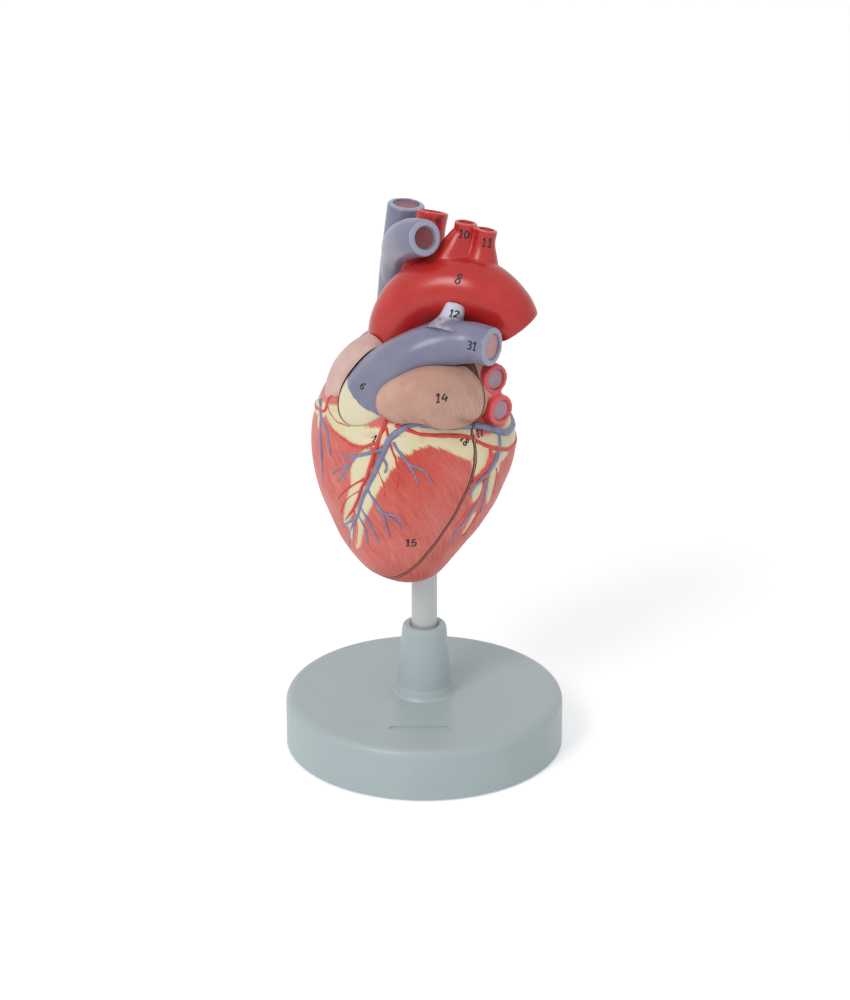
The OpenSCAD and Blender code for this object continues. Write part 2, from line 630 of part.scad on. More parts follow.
// Rings of a relief vessel, square to the path and to the body
function surface_rings(path) =
    let (last = len(path) - 1)
    [for (i = [0:last])
        let (p = xyz(path[i]), t = unit(xyz(path[min(i + 1, last)]) - xyz(path[max(i - 1, 0)])),
            out = p - [body_rows[5][1], body_rows[5][2], p[2]],
            across = unit(cross(out, t)), along = cross(t, across))
        [for (j = [0:relief_sides - 1])
            let (a = 360 * j / relief_sides)
            p + path[i][3] * (cos(a) * across + sin(a) * along)]];
module front_relief(routes) in_heart() casting() difference() {
    intersection() {
        for (route = routes) relief(route);
        front_half();
    }
    left_lobe();
    right_lobe();
    clear_of_vessels();
}
module rear_relief(routes) in_heart() casting() difference() {
    intersection() {
        for (route = routes) relief(route);
        rear_half();
    }
    left_lobe();
    main_vessels();
}
module front_coronary_arteries() color("#dc4b46") front_relief(front_artery_routes);
module front_cardiac_veins() color("#8c8cab") front_relief(front_vein_routes);
module rear_coronary_arteries() color("#dc4b46") rear_relief(rear_artery_routes);
module rear_cardiac_veins() color("#8c8cab") rear_relief(rear_vein_routes);

base_shell();
base_weight();
base_bottom_cover();
base_feet();
cover_screws();
rod();
rod_socket();
rear_wall();
pulmonary_trunk();
aorta();
superior_vena_cava();
inferior_vena_cava();
left_pulmonary_veins();
right_pulmonary_veins();
arterial_ligament();
mitral_valve();
tricuspid_valve();
aortic_valve();
left_papillary_muscles();
right_papillary_muscles();
locating_pins();
rear_magnets();
rear_coronary_arteries();
rear_cardiac_veins();
front_wall();
left_auricle();
right_auricle();
front_magnets();
front_coronary_arteries();
front_cardiac_veins();
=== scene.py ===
import math

import bpy
import numpy as np
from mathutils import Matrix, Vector


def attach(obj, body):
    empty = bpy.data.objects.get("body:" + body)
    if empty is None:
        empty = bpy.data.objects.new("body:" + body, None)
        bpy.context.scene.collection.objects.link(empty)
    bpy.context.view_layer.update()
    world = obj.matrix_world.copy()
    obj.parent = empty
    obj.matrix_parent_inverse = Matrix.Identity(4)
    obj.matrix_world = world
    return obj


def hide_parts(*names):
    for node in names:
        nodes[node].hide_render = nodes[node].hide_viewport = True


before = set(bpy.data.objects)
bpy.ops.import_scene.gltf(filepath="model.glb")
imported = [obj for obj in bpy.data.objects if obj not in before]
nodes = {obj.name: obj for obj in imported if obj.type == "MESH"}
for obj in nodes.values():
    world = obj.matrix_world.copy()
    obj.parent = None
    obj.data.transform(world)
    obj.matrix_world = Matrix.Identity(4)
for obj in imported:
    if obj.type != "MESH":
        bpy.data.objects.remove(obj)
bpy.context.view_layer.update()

# ---- Base moulding ----------------------------------------------------------------------
# The round base and its tapered collar are one hollow moulding of satin grey plastic, with a
# bare recess for a label in its top. Ribs stiffen it from below.


def colour(red, green, blue):
    """Linear colour with alpha 1 from the 0 to 255 values that a screen shows."""
    shown = np.array([red, green, blue]) / 255
    linear = np.where(shown <= 0.04045, shown / 12.92, ((shown + 0.055) / 1.055) ** 2.4)
    return (*linear.tolist(), 1.0)


def feed(tree, socket, value):
    """Links a socket to the value where that is a socket too, and else sets it to the value."""
    if isinstance(value, bpy.types.NodeSocket):
        tree.links.new(value, socket)
    else:
        socket.default_value = value


def add(tree, kind, inputs=(), **settings):
    """Adds a node with its settings, and feeds its inputs."""
    new = tree.nodes.new(kind)
    for key, value in settings.items():
        setattr(new, key, value)
    for socket, value in dict(inputs).items():
        feed(tree, new.inputs[socket], value)
    return new


def object_place(tree):
    """Place on the piece, in its own coordinates."""
    return add(tree, "ShaderNodeTexCoord").outputs["Object"]


def number(tree, operation, first, second=0.0):
    """Result of one operation on two numbers."""
    return add(tree, "ShaderNodeMath", {0: first, 1: second}, operation=operation).outputs[0]


def ramp(tree, value, low, high, to_low=0.0, to_high=1.0):
    """Value carried smoothly from one range to another, held at both ends."""
    ends = {"Value": value, "From Min": low, "From Max": high, "To Min": to_low, "To Max": to_high}
    return add(tree, "ShaderNodeMapRange", ends, interpolation_type="SMOOTHSTEP").outputs[0]


def blend_colours(tree, share, first, second):
    """Mix of two colours: none of the second at share 0, all of it at share 1."""
    return add(tree, "ShaderNodeMix", {0: share, 6: first, 7: second}, data_type="RGBA").outputs[2]


def noise(tree, vector, scale, detail=2.0, roughness=0.5):
    """Soft noise from 0 to 1."""
    given = {"Vector": vector, "Scale": scale, "Detail": detail, "Roughness": roughness}
    return add(tree, "ShaderNodeTexNoise", given).outputs[0]


def new_group(name, inputs, outputs):
    """Empty shader group with named sockets. Returns the group, its input and its output."""
    group = bpy.data.node_groups.new(name, "ShaderNodeTree")
    kinds = {"colour": "NodeSocketColor", "value": "NodeSocketFloat", "vector": "NodeSocketVector"}
    for direction, sockets in (("INPUT", inputs), ("OUTPUT", outputs)):
        for socket, kind, *start in sockets:
            made = group.interface.new_socket(socket, in_out=direction, socket_type=kinds[kind])
            if start:
                made.default_value = start[0]
    return group, group.nodes.new("NodeGroupInput"), group.nodes.new("NodeGroupOutput")


def moulded_grain():
    """Group for bare plastic and metal: faint cloudy shade, fine grain and a height for it."""
    group, given, out = new_group(
        "moulded_grain",
        [("Colour", "colour"), ("Shade", "value", 0.12), ("Grain Scale", "value", 900.0),
         ("Roughness", "value", 0.4), ("Spread", "value", 0.1)],
        [("Colour", "colour"), ("Roughness", "value"), ("Height", "value")])
    place = object_place(group)
    cloud = noise(group, place, 28.0, 4.0, 0.6)
    grain = noise(group, place, given.outputs["Grain Scale"], 3.0, 0.65)
    dark = add(group, "ShaderNodeVectorMath", {0: given.outputs["Colour"], 1: (0.55, 0.57, 0.6)},
               operation="MULTIPLY").outputs[0]
    share = number(group, "MULTIPLY", ramp(group, cloud, 0.3, 0.75), given.outputs["Shade"])
    tint = blend_colours(group, share, given.outputs["Colour"], dark)
    swing = given.outputs["Spread"]
    spread = number(group, "MULTIPLY", number(group, "SUBTRACT", grain, 0.5), swing)
    spread = number(group, "ADD", spread, number(group, "MULTIPLY", cloud, swing))
    rough = number(group, "ADD", given.outputs["Roughness"], spread)
    for socket, value in (("Colour", tint), ("Roughness", rough), ("Height", grain)):
        feed(group, out.inputs[socket], value)
    return group


def new_material(name):
    """Material with nodes. Returns it, its tree and its shader."""
    material = bpy.data.materials.new(name)
    material.use_nodes = True
    return material, material.node_tree, material.node_tree.nodes["Principled BSDF"]


def into(tree, shader, **sockets):
    """Links or sets the shader's own sockets, named with _ for each space."""
    for name, value in sockets.items():
        feed(tree, shader.inputs[name.replace("_", " ")], value)


def bump(tree, height, distance, strength=1.0):
    """Normal tilted by a height in metres of relief."""
    return add(tree, "ShaderNodeBump",
               {"Height": height, "Distance": distance, "Strength": strength}).outputs[0]


grain_group = moulded_grain()


def moulded(name, tint, roughness, grain_depth=0.00003, grain_scale=900.0, shade=0.12,
            spread=0.1, **sockets):
    """Material for bare plastic, rubber or metal."""
    material, tree, shader = new_material(name)
    given = {"Colour": tint, "Shade": shade, "Grain Scale": grain_scale, "Roughness": roughness,
             "Spread": spread}
    grain = add(tree, "ShaderNodeGroup", given, node_tree=grain_group)
    into(tree, shader, Base_Color=grain.outputs["Colour"], Roughness=grain.outputs["Roughness"],
         Normal=bump(tree, grain.outputs["Height"], grain_depth), **sockets)
    return material


def finish_node(name, material):
    """Gives its material to a CAD node that stays."""
    mesh = nodes[name].data
    mesh.materials.clear()
    mesh.materials.append(material)


finish_node("base_shell", moulded("base_grey_plastic", colour(176, 190, 192), 0.36,
                                  grain_depth=0.00002, Specular_IOR_Level=0.5))

# ---- Inside and under the base ----------------------------------------------------------
# A steel plate weights the base. A dark cover closes it from below, held by screws into the
# moulding's bosses, and round rubber feet are glued to the cover.
finish_node("base_weight", moulded("ballast_steel", colour(120, 124, 128), 0.5, Metallic=1.0,
                                   grain_scale=300.0, shade=0.4))
finish_node("base_bottom_cover", moulded("cover_dark_plastic", colour(62, 68, 72), 0.55))
finish_node("base_feet", moulded("foot_rubber", colour(38, 40, 42), 0.8, grain_scale=1600.0))
finish_node("cover_screws", moulded("screw_steel", colour(188, 190, 192), 0.3, Metallic=1.0,
                                    grain_scale=2200.0))

# ---- Rod and socket ---------------------------------------------------------------------
# A steel rod, painted satin grey, stands in the collar's bore and turns in it. Its top runs in
# a brass sleeve moulded into the rear half of the heart.


def rod_paint():
    """Satin grey paint with faint lines drawn along the rod."""
    material, tree, shader = new_material("rod_grey_paint")
    place = object_place(tree)
    drawn = add(tree, "ShaderNodeMapping", {"Vector": place, "Scale": (1.0, 1.0, 0.03)}).outputs[0]
    lines = noise(tree, drawn, 1500.0, 3.0)
    given = {"Colour": colour(196, 200, 200), "Shade": 0.1, "Roughness": 0.3}
    grain = add(tree, "ShaderNodeGroup", given, node_tree=grain_group)
    tint = blend_colours(tree, number(tree, "MULTIPLY", lines, 0.12), grain.outputs["Colour"],
                         colour(150, 155, 156))
    into(tree, shader, Base_Color=tint, Roughness=grain.outputs["Roughness"], Metallic=0.25,
         Normal=bump(tree, lines, 0.00001))
    return material


finish_node("rod", rod_paint())
finish_node("rod_socket", moulded("socket_brass", colour(190, 165, 95), 0.35, Metallic=1.0))

# ---- Shape of the heart -----------------------------------------------------------------
# The heart is cast in rigid vinyl in two halves. Its sizes are in millimetres in its own
# frame: x to the right across its front, y to its back, and z up along the rod.
heart_turn = math.radians(38)
seam_tilt = math.radians(14)
seam_place = np.array([0.0, -12.5, 129.0])
back_way = np.array([0.0, math.cos(seam_tilt), -math.sin(seam_tilt)])
seam_gap = 0.5
body_rows = np.array([
    # z, centre x, centre y, left, right, front, back
    [79, -1, -9, 0, 0, 0, 0],
    [82, -2, -8, 16, 12, 13, 12],
    [91, -3, -5, 28, 20, 24, 20],
    [105, -3, -1, 41, 29, 32, 27],
    [121, -4, 2, 48, 37, 39, 34],
    [138, -5, 4, 50, 42, 40, 36],
    [154, -6, 5, 45, 36.5, 38, 32],
    [167, -7, 6, 36, 31, 32, 26],
    [178, -8, 8, 28, 24, 23, 20],
    [185, -9, 9, 14, 12, 12, 10],
    [187, -9, 10, 0, 0, 0, 0],
], float)


def smooth_rows(rows, places, rounded=False):
    """Rows of a table at fractional places. Between stations each column is a Catmull-Rom cubic.
    A rounded form is mirrored through its poles, and a path runs straight on at its ends."""
    rows = np.asarray(rows, float)
    if rounded:
        flip = np.array([1, 1, 1, -1, -1, -1, -1])
        head, tail = rows[1] * flip, rows[-2] * flip
    else:
        head, tail = 2 * rows[0] - rows[1], 2 * rows[-1] - rows[-2]
    table = np.vstack([head, rows, tail])
    places = np.asarray(places, float)
    i = np.clip(np.floor(places).astype(int), 0, len(rows) - 2)
    t = (places - i)[:, None]
    a, b, c, d = (table[i + k] for k in range(4))
    return 0.5 * (2 * b + (c - a) * t + (2 * a - 5 * b + 4 * c - d) * t**2
                  + (3 * b - a - 3 * c + d) * t**3)


def unit(v):
    """Vectors of length 1 in the same directions."""
    return v / np.linalg.norm(v, axis=-1, keepdims=True)


def ring_faces(rings, turns):
    """Quads between neighbouring rings, and a fan of triangles to a pole at each end."""
    i, j = np.meshgrid(np.arange(rings - 1), np.arange(turns), indexing="ij")
    k = (j + 1) % turns
    quads = np.stack([i * turns + j, i * turns + k, (i + 1) * turns + k, (i + 1) * turns + j], -1)
    j = np.arange(turns)
    k = (j + 1) % turns
    low, last = rings * turns, (rings - 1) * turns
    fans = np.concatenate([np.stack([np.full(turns, low), k, j], -1),
                           np.stack([last + j, last + k, np.full(turns, low + 1)], -1)])
    return quads.reshape(-1, 4), fans


def egg(rows, rings, turns):
    """Closed form over a stack of rings. A ring is an ellipse with its own half width to each
    side, so its points are its centre plus (width cos a, depth sin a)."""
    rows = np.asarray(rows, float)
    r = smooth_rows(rows, np.linspace(0, len(rows) - 1, rings + 2)[1:-1], True)
    z, middle_x, middle_y, left, right, front, back = (r[:, [k]] for k in range(7))
    a = np.linspace(0, 2 * np.pi, turns, endpoint=False)
    c, s = np.cos(a), np.sin(a)
    x = middle_x + np.where(c > 0, right, left) * c
    y = middle_y + np.where(s > 0, back, front) * s
    points = np.stack([x, y, z + 0 * c], -1).reshape(-1, 3)
    poles = np.array([rows[0, [1, 2, 0]], rows[-1, [1, 2, 0]]])
    return np.vstack([points, poles]), ring_faces(rings, turns)


def path_frames(path, places):
    """Stations of a path with its direction and two directions square to it. The first of these
    is level, so the rings of a tube don't twist."""
    last = len(path) - 1
    at = smooth_rows(path, places)
    ahead = smooth_rows(path, np.minimum(places + 0.02, last))
    behind = smooth_rows(path, np.maximum(places - 0.02, 0))
    along = unit(ahead[:, :3] - behind[:, :3])
    across = unit(np.cross([0.0, 1.0, 0.0], along))
    return at, along, across, np.cross(along, across)


def circles(across, up, turns):
    """Ring of unit vectors for each station: cos a across plus sin a up."""
    a = np.linspace(0, 2 * np.pi, turns, endpoint=False)[None, :, None]
    return np.cos(a) * across[:, None] + np.sin(a) * up[:, None]


def tube(path, rings, turns):
    """Closed tube: circles of the path's own radius, square to the path."""
    path = np.asarray(path, float)
    at, _, across, up = path_frames(path, np.linspace(0, len(path) - 1, rings))
    points = at[:, None, :3] + at[:, None, 3:] * circles(across, up, turns)
    return np.vstack([points.reshape(-1, 3), at[0, :3], at[-1, :3]]), ring_faces(rings, turns)


def ball(centre, half, tilt=0.0, turns=96):
    """Ellipsoid about a centre, leaned by tilt degrees about the y axis."""
    rings = turns // 2
    up = np.linspace(-np.pi / 2, np.pi / 2, rings + 2)[1:-1, None]
    a = np.linspace(0, 2 * np.pi, turns, endpoint=False)
    points = np.stack([np.cos(up) * np.cos(a), np.cos(up) * np.sin(a), np.sin(up) + 0 * a], -1)
    points = np.vstack([points.reshape(-1, 3), [0, 0, -1], [0, 0, 1]]) * half
    c, s = math.cos(math.radians(tilt)), math.sin(math.radians(tilt))
    turned = points @ np.array([[c, 0, -s], [0, 1, 0], [s, 0, c]])
    return turned + centre, ring_faces(rings, turns)


def new_piece(name, points, faces, materials=()):
    """Object from points in metres and arrays of faces."""
    mesh = bpy.data.meshes.new(name)
    sizes = np.concatenate([np.full(len(f), f.shape[1]) for f in faces])
    corners = np.concatenate([f.ravel() for f in faces])
    mesh.vertices.add(len(points))
    mesh.vertices.foreach_set("co", np.asarray(points, np.float32).ravel())
    mesh.loops.add(len(corners))
    mesh.loops.foreach_set("vertex_index", corners.astype(np.int32))
    mesh.polygons.add(len(sizes))
    mesh.polygons.foreach_set("loop_start", (np.cumsum(sizes) - sizes).astype(np.int32))
    mesh.update(calc_edges=True)
    mesh.validate()
    for material in materials:
        mesh.materials.append(material)
    piece = bpy.data.objects.new(name, mesh)
    bpy.context.scene.collection.objects.link(piece)
    return piece


def to_row(points):
    """Points from the heart's frame in millimetres to the model's frame in metres."""
    c, s = math.cos(heart_turn), math.sin(heart_turn)
    x, y, z = np.moveaxis(np.asarray(points, float), -1, 0)
    return np.stack([c * x + s * y, c * y - s * x, z], -1) / 1000


def to_heart(points):
    """Points from the model's frame in metres to the heart's frame in millimetres."""
    c, s = math.cos(heart_turn), math.sin(heart_turn)
    x, y, z = np.moveaxis(np.asarray(points, float) * 1000, -1, 0)
    return np.stack([c * x - s * y, s * x + c * y, z], -1)


def heart_piece(name, shape, materials=(), index=0):
    """Object from a shape in the heart's frame."""
    piece = new_piece(name, to_row(shape[0]), shape[1], materials)
    if index:
        mark_faces(piece, index)
    return piece


def mark_faces(piece, index):
    """Gives all faces of a piece one material index."""
    count = len(piece.data.polygons)
    piece.data.polygons.foreach_set("material_index", np.full(count, index, np.int32))


def settle(piece):
    """Takes up a piece's modifiers into its mesh."""
    depsgraph = bpy.context.evaluated_depsgraph_get()
    mesh = bpy.data.meshes.new_from_object(piece.evaluated_get(depsgraph))
    mesh.name = piece.name
    piece.modifiers.clear()
    piece.data = mesh
    return piece


def combine(piece, operation, *others):
    """Joins, cuts or crosses a piece with others, which are then gone. Cut faces keep the
    material index of the piece that cut them."""
    for other in others:
        step = piece.modifiers.new("combine", "BOOLEAN")
        step.operation = operation
        step.solver = "MANIFOLD"
        step.object = other
        settle(piece)
        bpy.data.objects.remove(other)
    return piece


def fuse(piece, voxel, rounds, *others):
    """Joins pieces into one skin of small even faces, and softens the corners between them."""
    combine(piece, "UNION", *others)
    remesh = piece.modifiers.new("skin", "REMESH")
    remesh.mode = "VOXEL"
    remesh.voxel_size = voxel
    soften = piece.modifiers.new("soften", "SMOOTH")
    soften.factor = 0.5
    soften.iterations = rounds
    return settle(piece)


def points_of(piece):
    """Vertices of a piece as an array, in metres."""
    co = np.empty(len(piece.data.vertices) * 3, np.float32)
    piece.data.vertices.foreach_get("co", co)
    return co.reshape(-1, 3).astype(float)


def normals_of(piece):
    """Vertex normals of a piece."""
    normal = np.empty(len(piece.data.vertices) * 3, np.float32)
    piece.data.vertices.foreach_get("normal", normal)
    return normal.reshape(-1, 3).astype(float)


def push_out(piece, amounts):
    """Moves each vertex along its normal by an amount in millimetres."""
    moved = points_of(piece) + normals_of(piece) * (amounts / 1000)[:, None]
    piece.data.vertices.foreach_set("co", moved.astype(np.float32).ravel())
    piece.data.update()


def keep(piece, name, values):
    """Stores a number or a vector for each vertex as an attribute."""
    values = np.asarray(values, np.float32)
    kind, field = ("FLOAT", "value") if values.ndim == 1 else ("FLOAT_VECTOR", "vector")
    made = piece.data.attributes.new(name, kind, "POINT")
    made.data.foreach_set(field, values.ravel())


def half_block(side):
    """Block on one side of the seam: side 1 is the rear, side -1 the front."""
    corners = np.array([[x, y, z] for x in (-1, 1) for y in (0, 1) for z in (-1, 1)], float)
    up = np.array([0.0, math.sin(seam_tilt), math.cos(seam_tilt)])
    depth = (corners[:, 1:2] * 150 + seam_gap / 2) * side
    points = (seam_place + corners[:, :1] * [100, 0, 0] + depth * back_way
              + corners[:, 2:] * 150 * up)
    quads = np.array([[0, 1, 3, 2], [4, 6, 7, 5], [0, 4, 5, 1], [2, 3, 7, 6], [0, 2, 6, 4],
                      [1, 5, 7, 3]])
    return points, (quads if side > 0 else quads[:, ::-1],)


def cylinder(foot, way, length, radius, turns=64):
    """Closed cylinder from a foot along a way."""
    way = unit(np.asarray(way, float))
    side = unit(np.cross([0.31, 0.95, 0.05], way))
    up = np.cross(way, side)
    a = np.linspace(0, 2 * np.pi, turns, endpoint=False)[:, None]
    rim = radius * (np.cos(a) * side + np.sin(a) * up)
    foot = np.asarray(foot, float)
    ends = np.vstack([foot, foot + length * way])
    return np.vstack([foot + rim, foot + length * way + rim, ends]), ring_faces(2, turns)


def at_seam(across, up, depth=0.0):
    """Point on the seam plane, or a depth behind it."""
    rise = np.array([0.0, math.sin(seam_tilt), math.cos(seam_tilt)])
    return seam_place + np.array([across, 0.0, 0.0]) + up * rise + depth * back_way


def body_ring(z):
    """The body's ring at heights z: its centre and its half widths left, right, front and back."""
    table = smooth_rows(body_rows, np.linspace(0, len(body_rows) - 1, 900), True)
    return np.stack([np.interp(z, table[:, 0], table[:, k]) for k in range(1, 7)], 1)


def body_at(points):
    """Where points lie on the body: the angle about its axis in degrees, counted from the back
    groove so that its jump hides under the vein there, and the size of its ring."""
    rows = body_ring(points[:, 2])
    dx, dy = points[:, 0] - rows[:, 0], points[:, 1] - rows[:, 1]
    wide = np.where(dx > 0, rows[:, 3], rows[:, 2])
    deep = np.where(dy > 0, rows[:, 5], rows[:, 4])
    angle = np.degrees(np.arctan2(dy / np.maximum(deep, 0.1), dx / np.maximum(wide, 0.1)))
    return (angle - 96) % 360 + 96, rows


def on_body(route):
    """Points on the body at stations of z and angle."""
    route = np.asarray(route, float)
    x0, y0, left, right, front, back = body_ring(route[:, 0]).T
    c, s = np.cos(np.radians(route[:, 1])), np.sin(np.radians(route[:, 1]))
    return np.stack([x0 + np.where(c > 0, right, left) * c,
                     y0 + np.where(s > 0, back, front) * s, route[:, 0]], -1)


# ---- Rear half of the heart ---------------------------------------------------------------
# The rear casting holds both atria and the great vessels. Its muscle is painted by brush over
# tan vinyl, cream fat lies along the grooves, and the flat seam face and the chambers are left
# plain. Sockets for the brass sleeve, two pins and two magnets are sunk into it.
left_chamber_rows = [
    [104, 7, -13, 0, 0, 0, 0],
    [107, 8, -13, 7, 7, 7, 7],
    [115, 9, -12, 11, 12, 12, 13],
    [126, 10, -9, 13, 14, 16, 17],
    [138, 10, -6, 13, 13, 19, 18],
    [149, 9, -3, 11, 13, 18, 16],
    [156, 8, -1, 0, 0, 0, 0],
]
right_chamber_rows = [
    [106, -22, -12, 0, 0, 0, 0],
    [109, -22, -12, 7, 7, 6, 7],
    [118, -26, -11, 14, 10, 13, 13],
    [128, -28, -9, 17, 12, 17, 16],
    [140, -28, -6, 17, 12, 20, 17],
    [150, -27, -3, 14, 11, 19, 16],
    [157, -26, -1, 0, 0, 0, 0],
]
left_auricle_rows = [
    [0, 167, -27, 0, 0, 0, 0],
    [3, 167, -27, 8, 7, 9, 8],
    [10, 169, -25, 12, 10, 13, 14],
    [19, 171, -22, 13, 12, 14, 23],
    [27, 168.5, -16.5, 13, 13, 13, 17],
    [32, 165, -8.5, 8, 8, 9, 9.5],
    [34.5, 164.5, -7, 0, 0, 0, 0],
]
passage_paths = [
    [[4, -4, 146, 8], [-4, -1, 153, 8], [-11, 1, 161, 8]],
    [[9, -3, 150, 7.5], [12, 0, 158, 7], [15, 2, 166, 7]],
    [[-28, -2, 149.4, 7.5], [-28.6, -2, 158, 7], [-29, -2, 166, 7]],
]
trunk_path = np.array([
    [-13, -18, 150, 13], [-11, -19, 158.5, 15.2], [-4, -19, 170, 14], [6, -19, 180.5, 11.5],
    [17, -14.4, 188, 9.8], [29, -8.3, 190.8, 8.6], [40.7, -7, 190.9, 7.9],
])
aorta_path = np.array([
    [-13, 2, 160, 12.5], [-12.6, 0, 175, 13.4], [-10.5, -1, 189, 13.8], [-3, 1, 201, 13.8],
    [9, 6, 206.2, 14], [21.5, 10.5, 205.4, 13.5], [31, 14, 199.5, 11.8], [36, 17, 192, 9.8],
])
cava_path = [[-30.5, 19, 157, 9.4], [-31, 20, 176, 9], [-28.5, 20, 205, 8.7], [-25.5, 20.5, 233, 8]]
lower_cava_path = [[-22, 19, 141, 8], [-21, 27, 134, 8], [-20, 33, 124, 8]]
left_vein_paths = [
    [[16, 8, 171, 8], [26, 7, 171.6, 7], [33.3, 5.5, 171.8, 6.3]],
    [[16, 8, 159, 8], [28, 7, 159, 7], [36.3, 5.5, 159, 6.3]],
]
right_vein_paths = [
    [[0, 22, 168, 7], [-9, 30, 170, 6.5], [-16, 35, 171, 6]],
    [[0, 22, 159, 7], [-9, 30, 159, 6.5], [-16, 36, 158, 6]],
]
pin_places = [(-10, -20), (27.5, 10)]
magnet_places = [(-10, 2), (-2, -35)]
seam_face, lining = 1, 2


def left_lobe(rings=96, turns=160):
    """The left auricle's own form. Its rows run along x, so its first three columns are x, z
    and y, and its sides are the half widths down and up."""
    points, faces = egg(left_auricle_rows, rings, turns)
    return points[:, [2, 1, 0]], tuple(f[:, ::-1] for f in faces)


def right_lobe(turns=160):
    """The right auricle's own form."""
    return ball([-23.8, -13, 167.2], [11.5, 14, 22], 34, turns)


past_body = 40


def backward_space(path, rings, turns, gap, start=0.0, shift=0.0):
    """Space that a vessel fills as the front half comes off past it. Each ring lies in a plane
    that holds the way off, and its back half is moved back, out of the body."""
    path = np.asarray(path, float)
    places = np.linspace(start, len(path) - 1, rings)
    at = smooth_rows(path, places)
    along = unit(smooth_rows(path, places + 0.02)[:, :3] - smooth_rows(path, places - 0.02)[:, :3])
    flat = along - (along @ back_way)[:, None] * back_way
    across = unit(np.cross(back_way, flat))
    a = 2 * np.pi * (np.arange(turns) + 0.5) / turns
    stretch = 1 / np.linalg.norm(flat, axis=1)
    radius = at[:, 3] + gap
    side = (radius[:, None] * np.cos(a))[:, :, None] * across[:, None]
    back = np.where(np.sin(a) > 0, past_body + shift, shift)
    deep = (radius * stretch)[:, None] * np.sin(a) + back
    points = at[:, None, :3] + side + deep[:, :, None] * back_way
    ends = points[[0, -1]].mean(1)
    return np.vstack([points.reshape(-1, 3), ends]), ring_faces(rings, turns)


def sink_seats(piece, materials, pin_hole, magnet_hole):
    """Sinks the seats of the pins and the magnets square into the seam face. A hole is given as
    its two depths behind the seam and its radius."""
    for places, (near, far, radius) in ((pin_places, pin_hole), (magnet_places, magnet_hole)):
        for place in places:
            tool = cylinder(at_seam(*place, near), back_way, far - near, radius)
            combine(piece, "DIFFERENCE", heart_piece("hole", tool, materials, seam_face))


def cut_chambers(piece, materials):
    """Hollows the ventricles, the atria and the passages between them."""
    tools = [egg(left_chamber_rows, 60, 96), egg(right_chamber_rows, 60, 96),
             ball([-29, -2, 166], [9, 13, 10]), ball([15, 4, 168], [14, 10, 9])]
    tools += [tube(path, 40, 72) for path in passage_paths]
    cutters = [heart_piece("cutter", tool, materials, lining) for tool in tools]
    hollow = combine(cutters[0], "UNION", *cutters[1:])
    combine(piece, "DIFFERENCE", hollow)


def cut_half(piece, side, materials):
    """Keeps the rear (side 1) or the front (side -1)."""
    combine(piece, "INTERSECT", heart_piece("half", half_block(side), materials, seam_face))


def shade_smooth(piece, angle=40):
    """Smooth shading with sharp edges kept above an angle in degrees."""
    mesh = piece.data
    mesh.polygons.foreach_set("use_smooth", np.ones(len(mesh.polygons), bool))
    mesh.set_sharp_from_angle(angle=math.radians(angle))


# Strokes of the cream fat along the grooves: lists of z, angle about the body and half width
fat_strokes = [
    [(154, 240, 2.4), (153, 250, 4.7), (151, 260, 4.2), (150, 268, 4.1), (150, 275, 3.8),
     (151, 283, 3.5)],
    [(148, 292, 4.1), (149, 300, 3.5), (151, 306, 3.5), (151, 315, 2.9), (150, 324, 3.1),
     (148, 330, 3.5), (146, 337, 4.4)],
    [(154, 290, 2.6), (155, 300, 3.0), (155, 310, 3.0), (155, 320, 3.0), (154, 332, 2.8),
     (153, 342, 2.6)],
    [(142, 288, 3.5), (137, 284, 2.6), (132, 281, 2.5), (126, 276, 2.6), (120, 272, 2.4),
     (115, 267, 2.1)],
    [(142, 274, 2.6), (138, 271, 3.8), (134, 268, 3.5), (130, 268, 3.2), (125, 266, 2.9),
     (119, 262, 2.4), (113, 257, 1.8), (108, 252, 1.3)],
    [(114, 267, 1.6), (108, 264, 1.3), (101, 259, 1.1), (97, 254, 0.5)],
    [(109, 257, 1.2), (104, 254, 0.9), (101, 251, 0.5)],
    [(146, 345, 3.5), (142, 344, 3.5), (139, 342, 2.6), (136, 341, 1.2)],
    [(145, 360, 3.5), (143, 370, 2.4), (140, 365, 1.8), (138, 357, 1.5), (134, 357, 1.3)],
    [(134, 354, 1.5), (129, 355, 1.6), (124, 357, 1.5), (119, 360, 0.8)],
    [(128, 346, 2.4), (123, 346, 1.5), (127, 344, 1.8)],
    [(114, 352, 1.3), (110, 351, 1.1), (106, 350, 0.6)],
    [(151, 228, 1.5), (148, 230, 1.3), (145, 232, 0.7)],
    [(146, 345, 3.5), (145, 365, 4.0), (145, 390, 4.5), (147, 420, 5.5), (149, 450, 7.0)],
    [(150, 90, 7.0), (149, 120, 5.0), (149, 150, 4.0), (149, 180, 3.6), (150, 210, 3.2),
     (153, 235, 2.6)],
    [(150, 92, 7.0), (138, 97, 5.0), (124, 99, 4.0), (110, 99, 3.0), (101, 99, 2.0)],
    [(148, 58, 4.0), (136, 55, 2.2), (124, 50, 1.2)],
    [(148, 135, 3.6), (138, 140, 2.0), (126, 142, 1.0)],
]


def stroke_depth(points, strokes):
    """How far points lie inside the nearest stroke, in millimetres, negative outside. A stroke
    is a chain of capsules whose half width runs evenly from one station to the next."""
    deepest = np.full(len(points), -30.0)
    for stroke in strokes:
        row = np.asarray(stroke, float)
        row = smooth_rows(row, np.linspace(0, len(row) - 1, 3 * len(row) - 2))
        path = on_body(row[:, :2])
        for a, b, wide_a, wide_b in zip(path[:-1], path[1:], row[:-1, 2], row[1:, 2]):
            along = b - a
            share = np.clip((points - a) @ along / (along @ along), 0, 1)
            gap = np.linalg.norm(points - a - share[:, None] * along, axis=1)
            deepest = np.maximum(deepest, wide_a + share * (wide_b - wide_a) - gap)
    return deepest


